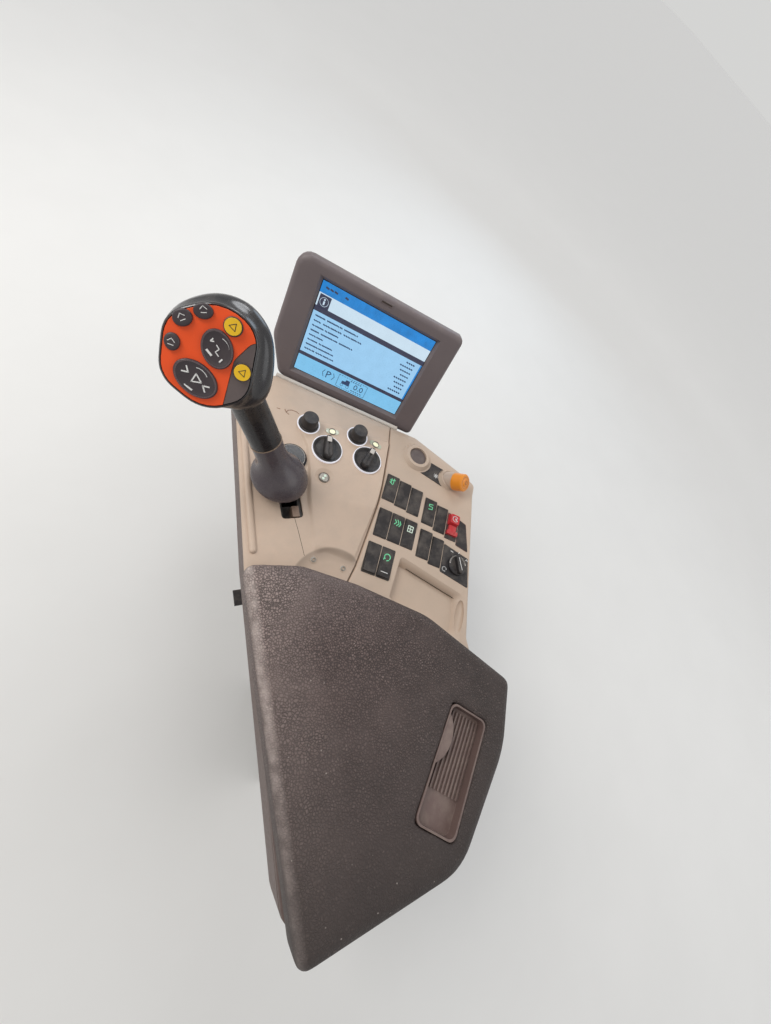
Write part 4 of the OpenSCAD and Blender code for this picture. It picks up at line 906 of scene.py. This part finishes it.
def switch_marks():
    marks = Pieces("switch_symbols")
    ramp = math.degrees(math.atan2(2, 18.5))
    flat = math.degrees(math.atan2(0.4, 18.5))

    def on_rocker(row, k, front, mirrored=False):
        x, y = place_in(row, k)
        tilt = (ramp if front else flat) if not mirrored else (-flat if front else -ramp)
        return frame_at(ROWS, (x, y, ROCKER_FACE), ("X", tilt))

    def draw(place, paths, width, shade):
        """Strokes that stand a little out of a face"""
        for path in paths:
            marks.stroke(place, path, width, -0.25, 0.14, shade)

    draw(on_rocker(ROW_FRONT, 0, True),
         [[(-5, 12), (3, 14)], [(-3, 15), (-3, 8)], [(1, 16), (1, 7)], [(-5, 9), (0, 6)]], 1.1, GREEN_LIT)
    draw(on_rocker(ROW_MIDDLE, 1, True),
         [[(-5, 5), (-2, 9), (-5, 12)], [(-1, 4), (2, 8), (-1, 13)], [(3, 4), (5, 8), (3, 12)]], 1.2,
         GREEN_LIT)
    draw(on_rocker(ROW_MIDDLE, 2, True),
         [[(-4, 3), (4, 3), (4, 12), (-4, 12), (-4, 3)], [(-4, 7.5), (4, 7.5)], [(0, 3), (0, 12)]], 1.1,
         WHITE_LIT)
    draw(on_rocker(ROW_REAR, 1, True, True),
         [arc((0, 9), 4.4, -30, 230), [(-4, 7), (-5, 4)], [(3, 5), (0, 3.5)]], 1.3, GREEN_LIT)
    draw(on_rocker(ROW_REAR, 1, False, True), [[(-5, -14), (5, -14)]], 1.0, SYMBOL_WHITE)
    draw(on_rocker(ROW_RIGHT_FRONT, 0, True),
         [[(3, 13), (-3, 12), (-3, 9), (3, 9), (3, 5), (-3, 4)]], 1.1, GREEN_LIT)

    # Beige strips between the rockers, in the switch panel's darker beige (painted shade)
    for row, count in ((ROW_FRONT, 2), (ROW_MIDDLE, 2), (ROW_REAR, 1), (ROW_RIGHT_FRONT, 2),
                       (ROW_RIGHT_REAR, 2)):
        for k in range(count):
            x, y = place_in(row, k)
            middle = y - row[2] / 2
            marks.plate(ROWS, x + 10.3, middle - 22, x + 11.0, middle + 22, -57.2, FRAME_TOP + 0.15,
                        SWITCH_BEIGE_SHADED)

    x, y = place_in(ROW_RIGHT_FRONT, 2)
    guard = frame_at(ROWS, (x, y + 11, FRAME_TOP + 8))
    draw(guard, [arc((0, 0), 4.6, 40, 330), [(2.5, 0.4), (0.5, 1.6), (0.2, -1.4), (2.8, -1.2)]], 1.1,
         SYMBOL_WHITE)
    dial = frame_at(ROWS, (ROTARY[0], ROTARY[1], -50.6), ("Z", 24))
    draw(dial, [arc((0, 0), 13.4, -6, 160, 20)], 2.0, PALE_BLOCK)
    draw(frame_at(dial, (0, 0, 7.5)), [[(0, -9.5), (0, 9.5)]], 1.0, SYMBOL_WHITE)
    face = frame_at(ROWS, (0, 0, FRAME_TOP))
    draw(face, [[(133, 84), (137, 83)], [(147, 84.5), (148, 87)], [(160.5, 78), (162.5, 80.5), (164, 77.5)],
                arc((126.5, 52), 3.4, 0, 300, 10)], 1.1, SYMBOL_WHITE)
    plate = frame_at(ROWS, (84, 199.5, DECK + 1))
    draw(plate, [[(-4, 0), (4, 0)], [(0, -4), (0, 4)], [(-3, -3), (3, 3)], [(-3, 3), (3, -3)]], 0.8,
         SYMBOL_WHITE)
    # Dark strip down in the seam between the panels: painted shade
    seam = frame_at(ROWS, (0, 0, DECK))
    marks.stroke(seam, [(70.5, 32.9), (159.3, 16.4)], 0.5, -9, -7.6, CREVICE_SHADE)
    marks.ring(BUTTON, (0, 0), 9.2, 9.7, 31.8, 32.42, ARROW_BROWN)
    marks.ring(BUTTON, (0, 0), 2.6, 3.1, 34.1, 34.42, ARROW_BROWN)
    marks.ring(BUTTON, (0, 0), 12.9, 14.7, 12.4, 13.5, COLLAR)
    marks.done("console")


panel_trim()
switch_marks()


# Picture on the terminal's screen, with the lengths of the dashes in each of its lines
WORDS = ((0.08, 0.13, 0.11), (0.06, 0.16, 0.15), (0.09, 0.1), (0.07, 0.14, 0.12), (0.1,),
         (0.08, 0.12), (0.09, 0.13), (0.08, 0.15))


def screen_picture():
    sky = lit("screen_field", tone(158, 208, 245), 0.95, uneven=0.06)
    strip = lit("screen_strip", tone(128, 198, 240), 0.95, uneven=0.06)
    bar = lit("screen_bar", tone(26, 138, 220), 0.95, uneven=0.25)
    pale = lit("screen_pale", tone(206, 228, 244), 0.95, uneven=0.05)
    dark = lit("screen_dark", tone(58, 60, 84), 0.9, uneven=0.2)
    ink = lit("screen_ink", tone(44, 70, 110), 0.9, uneven=0.2)
    picture = Pieces("screen_picture")

    def spot(u, v):
        """Place of shares of the screen's width and height, from its top left corner"""
        return -SCREEN_W / 2 + u * SCREEN_W, SCREEN_H / 2 - v * SCREEN_H

    def patch(u0, v0, u1, v1, level, shade):
        picture.plate(SCREEN, *spot(u0, v1), *spot(u1, v0), -0.3, 0.1 + 0.06 * level, shade)

    def line(points, width, level, shade):
        picture.stroke(SCREEN, [spot(u, v) for u, v in points], width, -0.2, 0.1 + 0.06 * level, shade)

    patch(0, 0, 1, 1, 0, sky)
    patch(0, 0, 1, 0.115, 1, bar)
    patch(0, 0.115, 1, 0.25, 1, pale)
    patch(0.012, 0.125, 0.105, 0.262, 2, dark)
    patch(0, 0.25, 1, 0.305, 2, dark)
    patch(0, 0.775, 1, 0.815, 2, dark)
    patch(0, 0.815, 1, 1, 1, strip)
    patch(0.987, 0.305, 1, 0.775, 2, bar)
    x, y = spot(0.058, 0.192)
    picture.ring(SCREEN, (x, y), 5.0, 6.4, -0.2, 0.34, pale)
    picture.plate(SCREEN, x - 1.1, y - 3.6, x + 1.1, y + 1.2, -0.2, 0.34, pale)
    picture.turned(SCREEN, (x, y + 3.1), ((1.2, -0.2), (1.2, 0.3), (0.1, 0.34)), pale, 16)
    for k, words in enumerate(WORDS):
        v = 0.345 + k * 0.054
        u = 0.03
        for word in words:
            step = 0
            while step < word:
                long = 0.012 + 0.007 * ((k * 7 + int(step * 500)) % 3)
                line([(u + step, v), (u + step + long * 0.6, v + 0.006)], 1.7, 2, ink)
                step += long
            u += word + 0.02
        for j in range(4 + (k * 5) % 3):
            line([(0.93 - 0.021 * j, v), (0.93 - 0.021 * j + 0.009, v + 0.004)], 2.1, 2, ink)
    for u in (0.04, 0.075, 0.11, 0.2):
        line([(u, 0.05), (u + 0.02, 0.055)], 2.4, 2, dark)
    for u0, u1 in ((0.255, 0.24), (0.335, 0.35)):
        line([(u0, 0.862), (u1, 0.9), (u0, 0.945)], 0.9, 2, ink)
    line([(0.28, 0.945), (0.28, 0.87), (0.3, 0.865), (0.315, 0.88), (0.3, 0.9), (0.28, 0.905)], 1.5, 2, ink)
    box = ((0.385, 0.835), (0.66, 0.835), (0.66, 0.985), (0.385, 0.985), (0.385, 0.835))
    for (u0, v0), (u1, v1) in zip(box, box[1:]):
        for j in range(12):
            a = j / 12
            b = a + 0.045
            line([(u0 + (u1 - u0) * a, v0 + (v1 - v0) * a), (u0 + (u1 - u0) * b, v0 + (v1 - v0) * b)],
                 0.7, 2, ink)
    cab = [(0.425, 0.93), (0.425, 0.895), (0.455, 0.89), (0.46, 0.865), (0.495, 0.865), (0.5, 0.93)]
    picture.prism(SCREEN, [spot(u, v) for u, v in reversed(cab)], -0.2, 0.24, ink)
    for u in (0.433, 0.488):
        picture.ring(SCREEN, spot(u, 0.945), 1.6, 2.5, -0.2, 0.3, ink)
    for u in (0.56, 0.615):
        picture.stroke(SCREEN, placed(oval(2.3, 3.6, 16), spot(u, 0.905), 0), 1.2, -0.2, 0.26, ink)
    line([(0.587, 0.932), (0.591, 0.932)], 1.4, 2, ink)
    for j in range(5):
        line([(0.53 + 0.022 * j, 0.962), (0.54 + 0.022 * j, 0.965)], 1.3, 2, ink)
        line([(0.5 + 0.022 * j, 0.853), (0.51 + 0.022 * j, 0.856)], 1.3, 2, ink)
    picture.done("monitor", 0)


screen_picture()


# Small fasteners, and the outline of the belly's ledge
LEDGE_PLAN = [(286.5, -184), (282, -128), (373, 82), (383, 98)]
LEDGE_LOW = -123
LEDGE_TOP = -120.1
MONITOR_BACK = 44


def small_parts():
    back = frame_at(MONITOR, (0, MONITOR_BACK, 0), ("X", -90))
    rear = Pieces("monitor_screws")
    for x in (-78, 78):
        for y in (-44, 44):
            rear.screw(back, (x, y, -0.3), 3.4, 2.2, LOOKS["black_plastic"])
    slot = frame_at(MONITOR, (0.5, -5, 77.5), ("X", 90))
    rear.plate(slot, -9.3, -2.2, 9.3, 2.2, -0.3, 0.35, LOOKS["monitor_plastic"], 0.2)
    # Dark strip in the monitor's slot: painted shade of the opening
    rear.plate(slot, -7.6, -1.0, 7.6, 1.0, -0.2, 0.5, CREVICE_SHADE)
    rear.done("monitor")
    hinge = frame_at(CONSOLE, (76, -333, -82), ("X", 90))
    leaf = Pieces("hinge_screws")
    for x in (-36, 0, 36):
        leaf.screw(hinge, (x, 0, -0.2), 4.2, 2.4, LOOKS["zinc_steel"])
    leaf.done("console")
    ledge = Pieces("housing_ledge")
    ledge.prism(CONSOLE, LEDGE_PLAN, LEDGE_LOW, LEDGE_TOP, LOOKS["brown_plastic"])
    ledge.done("console")


small_parts()


# Boot and stalk of the lever, with the boot's flare by share of its height
FLARE = ((0, 0.98), (0.05, 1.02), (0.13, 0.96), (0.24, 0.78), (0.34, 0.52), (0.44, 0.27), (0.56, 0.09),
         (0.7, 0.01), (1, 0))
FOOT_RADIUS = 35
NECK_RADIUS = 18.1
STALK_RADIUS = 17.9
STALK_FLARE = 3
BOOT_STEPS = 40
STALK_STEPS = 26


def hoop(centre, along, radius, count=56):
    """Points round a circle across a direction, in the console's frame"""
    u = Vector((0, 1, 0)).cross(along).normalized()
    v = along.cross(u)
    return [tuple(centre + radius * (u * math.cos(a) + v * math.sin(a))) for a in angles(count)]


def curve_at(points, t):
    """Point on a smooth curve through points, t counting their gaps"""
    k = min(len(points) - 2, int(t))
    f = t - k
    p, q = points[k], points[k + 1]
    before = points[k - 1] if k else p * 2 - q
    after = points[k + 2] if k + 2 < len(points) else q * 2 - p
    a, b = (q - before) / 2, (after - p) / 2
    return (p * (1 - 3 * f ** 2 + 2 * f ** 3) + q * (3 * f ** 2 - 2 * f ** 3)
            + a * (f - 2 * f ** 2 + f ** 3) + b * (f ** 3 - f ** 2))


def lever_column():
    """Boot and stalk of the drive lever, along the same lines as their solids, with a seam between"""
    foot, neck, knee = Vector((60, 120, -39)), Vector((37, 141.5, 14)), Vector((20, 154, 50))
    path = [neck, knee, Vector((1, 159, 92)), Vector((-19, 167, 110))]
    lean = (knee - neck).normalized()
    rows = [Vector(row) for row in FLARE]
    boot = Pieces("boot_skin")
    rings = []
    for k in range(BOOT_STEPS + 1):
        t, share = curve_at(rows, (len(rows) - 1) * k / BOOT_STEPS)
        along = Vector((0, 0, 1)).lerp(lean, min(1, t * 1.6)).normalized()
        rings.append(hoop(foot.lerp(neck, t), along, NECK_RADIUS + (FOOT_RADIUS - NECK_RADIUS) * share))
    boot.loft(CONSOLE, rings, BOOT)
    made = boot.done("lever", 60)
    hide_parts("lever_boot")

    stalk = Pieces("stalk_skin")
    rings = []
    for k in range(STALK_STEPS + 1):
        t = 3 * k / STALK_STEPS
        along = (curve_at(path, min(3, t + 0.01)) - curve_at(path, max(0, t - 0.01))).normalized()
        centre = curve_at(path, t) + (along * 0.8 if k == 0 else Vector((0, 0, 0)))
        rings.append(hoop(centre, along, STALK_RADIUS + STALK_FLARE * (max(0, t - 1.5) / 1.5) ** 2))
    stalk.loft(CONSOLE, rings, STALK)
    turn = lean.to_track_quat("Z", "Y").to_matrix().to_4x4()
    stalk.ring(CONSOLE @ Matrix.Translation(neck + lean * 0.4) @ turn, (0, 0), 16.5, 18.7, -0.6, 0.6,
               TAN_SEAM, 64)
    made = stalk.done("lever", 60)
    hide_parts("lever_stalk")


lever_column()


# Stage: lamps by name, place, target, size, watts and colour
LIGHTING = (("key", (-0.9, 0.9, 1.5), (0.1, 0.15, 0.25), 0.9, 14, (1, 0.985, 0.96)),
            ("window", (0.42, 1.25, 1.35), (0.1, 0.35, 0.25), 0.6, 4, (0.93, 0.96, 1)),
            ("horizon", (1.2, 1.5, 0.8), (0, 0.35, 0.42), 0.7, 2.5, (0.68, 0.83, 1)),
            ("fill", (1.3, -0.5, 1.3), (0.1, 0.1, 0.2), 1.4, 5, (0.96, 0.98, 1)))
ROOM_LIGHT = (0.88, 0.89, 0.91, 1)
ROOM_STRENGTH = 0.55
BACKGROUND = (0.66, 0.66, 0.65, 1)
FLOOR_HALF = 30


def add_world():
    """An even light, with a background of its own for what the camera sees past the floor"""
    world = bpy.data.worlds.new("world")
    scene.world = world
    world.use_nodes = True
    made = world.node_tree.nodes
    links = world.node_tree.links
    room = made["Background"]
    room.inputs["Color"].default_value = ROOM_LIGHT
    room.inputs["Strength"].default_value = ROOM_STRENGTH
    seen = made.new("ShaderNodeBackground")
    seen.inputs["Color"].default_value = BACKGROUND
    rays = made.new("ShaderNodeLightPath")
    either = made.new("ShaderNodeMixShader")
    links.new(rays.outputs["Is Camera Ray"], either.inputs["Fac"])
    links.new(room.outputs[0], either.inputs[1])
    links.new(seen.outputs[0], either.inputs[2])
    links.new(either.outputs[0], made["World Output"].inputs["Surface"])


def add_floor():
    """A pale floor that glows a little towards its distance"""
    s = Shade("floor")
    base = s.mix(s.noise(6, 3), tone(232, 230, 226), tone(238, 236, 232))
    far = s.vector("LENGTH", s.place).outputs["Value"]
    s.set(Emission_Color=(1, 1, 0.985), Emission_Strength=s.span(far, 0.5, 2.6, 0, 0.22))
    s.set(Base_Color=base, Roughness=s.span(s.noise(30), 0.3, 0.7, 0.7, 0.85))
    plan = [(x * FLOOR_HALF, y * FLOOR_HALF, 0) for x, y in ((-1, -1), (1, -1), (1, 1), (-1, 1))]
    floor = mesh_object("floor", plan, [(0, 1, 2, 3)], [s.material], smooth=0)
    floor.location.z = cad_box[0][2]


add_camera()
for lamp in LIGHTING:
    add_lamp(*lamp)
add_world()
scene.view_settings.view_transform = "Standard"
add_floor()
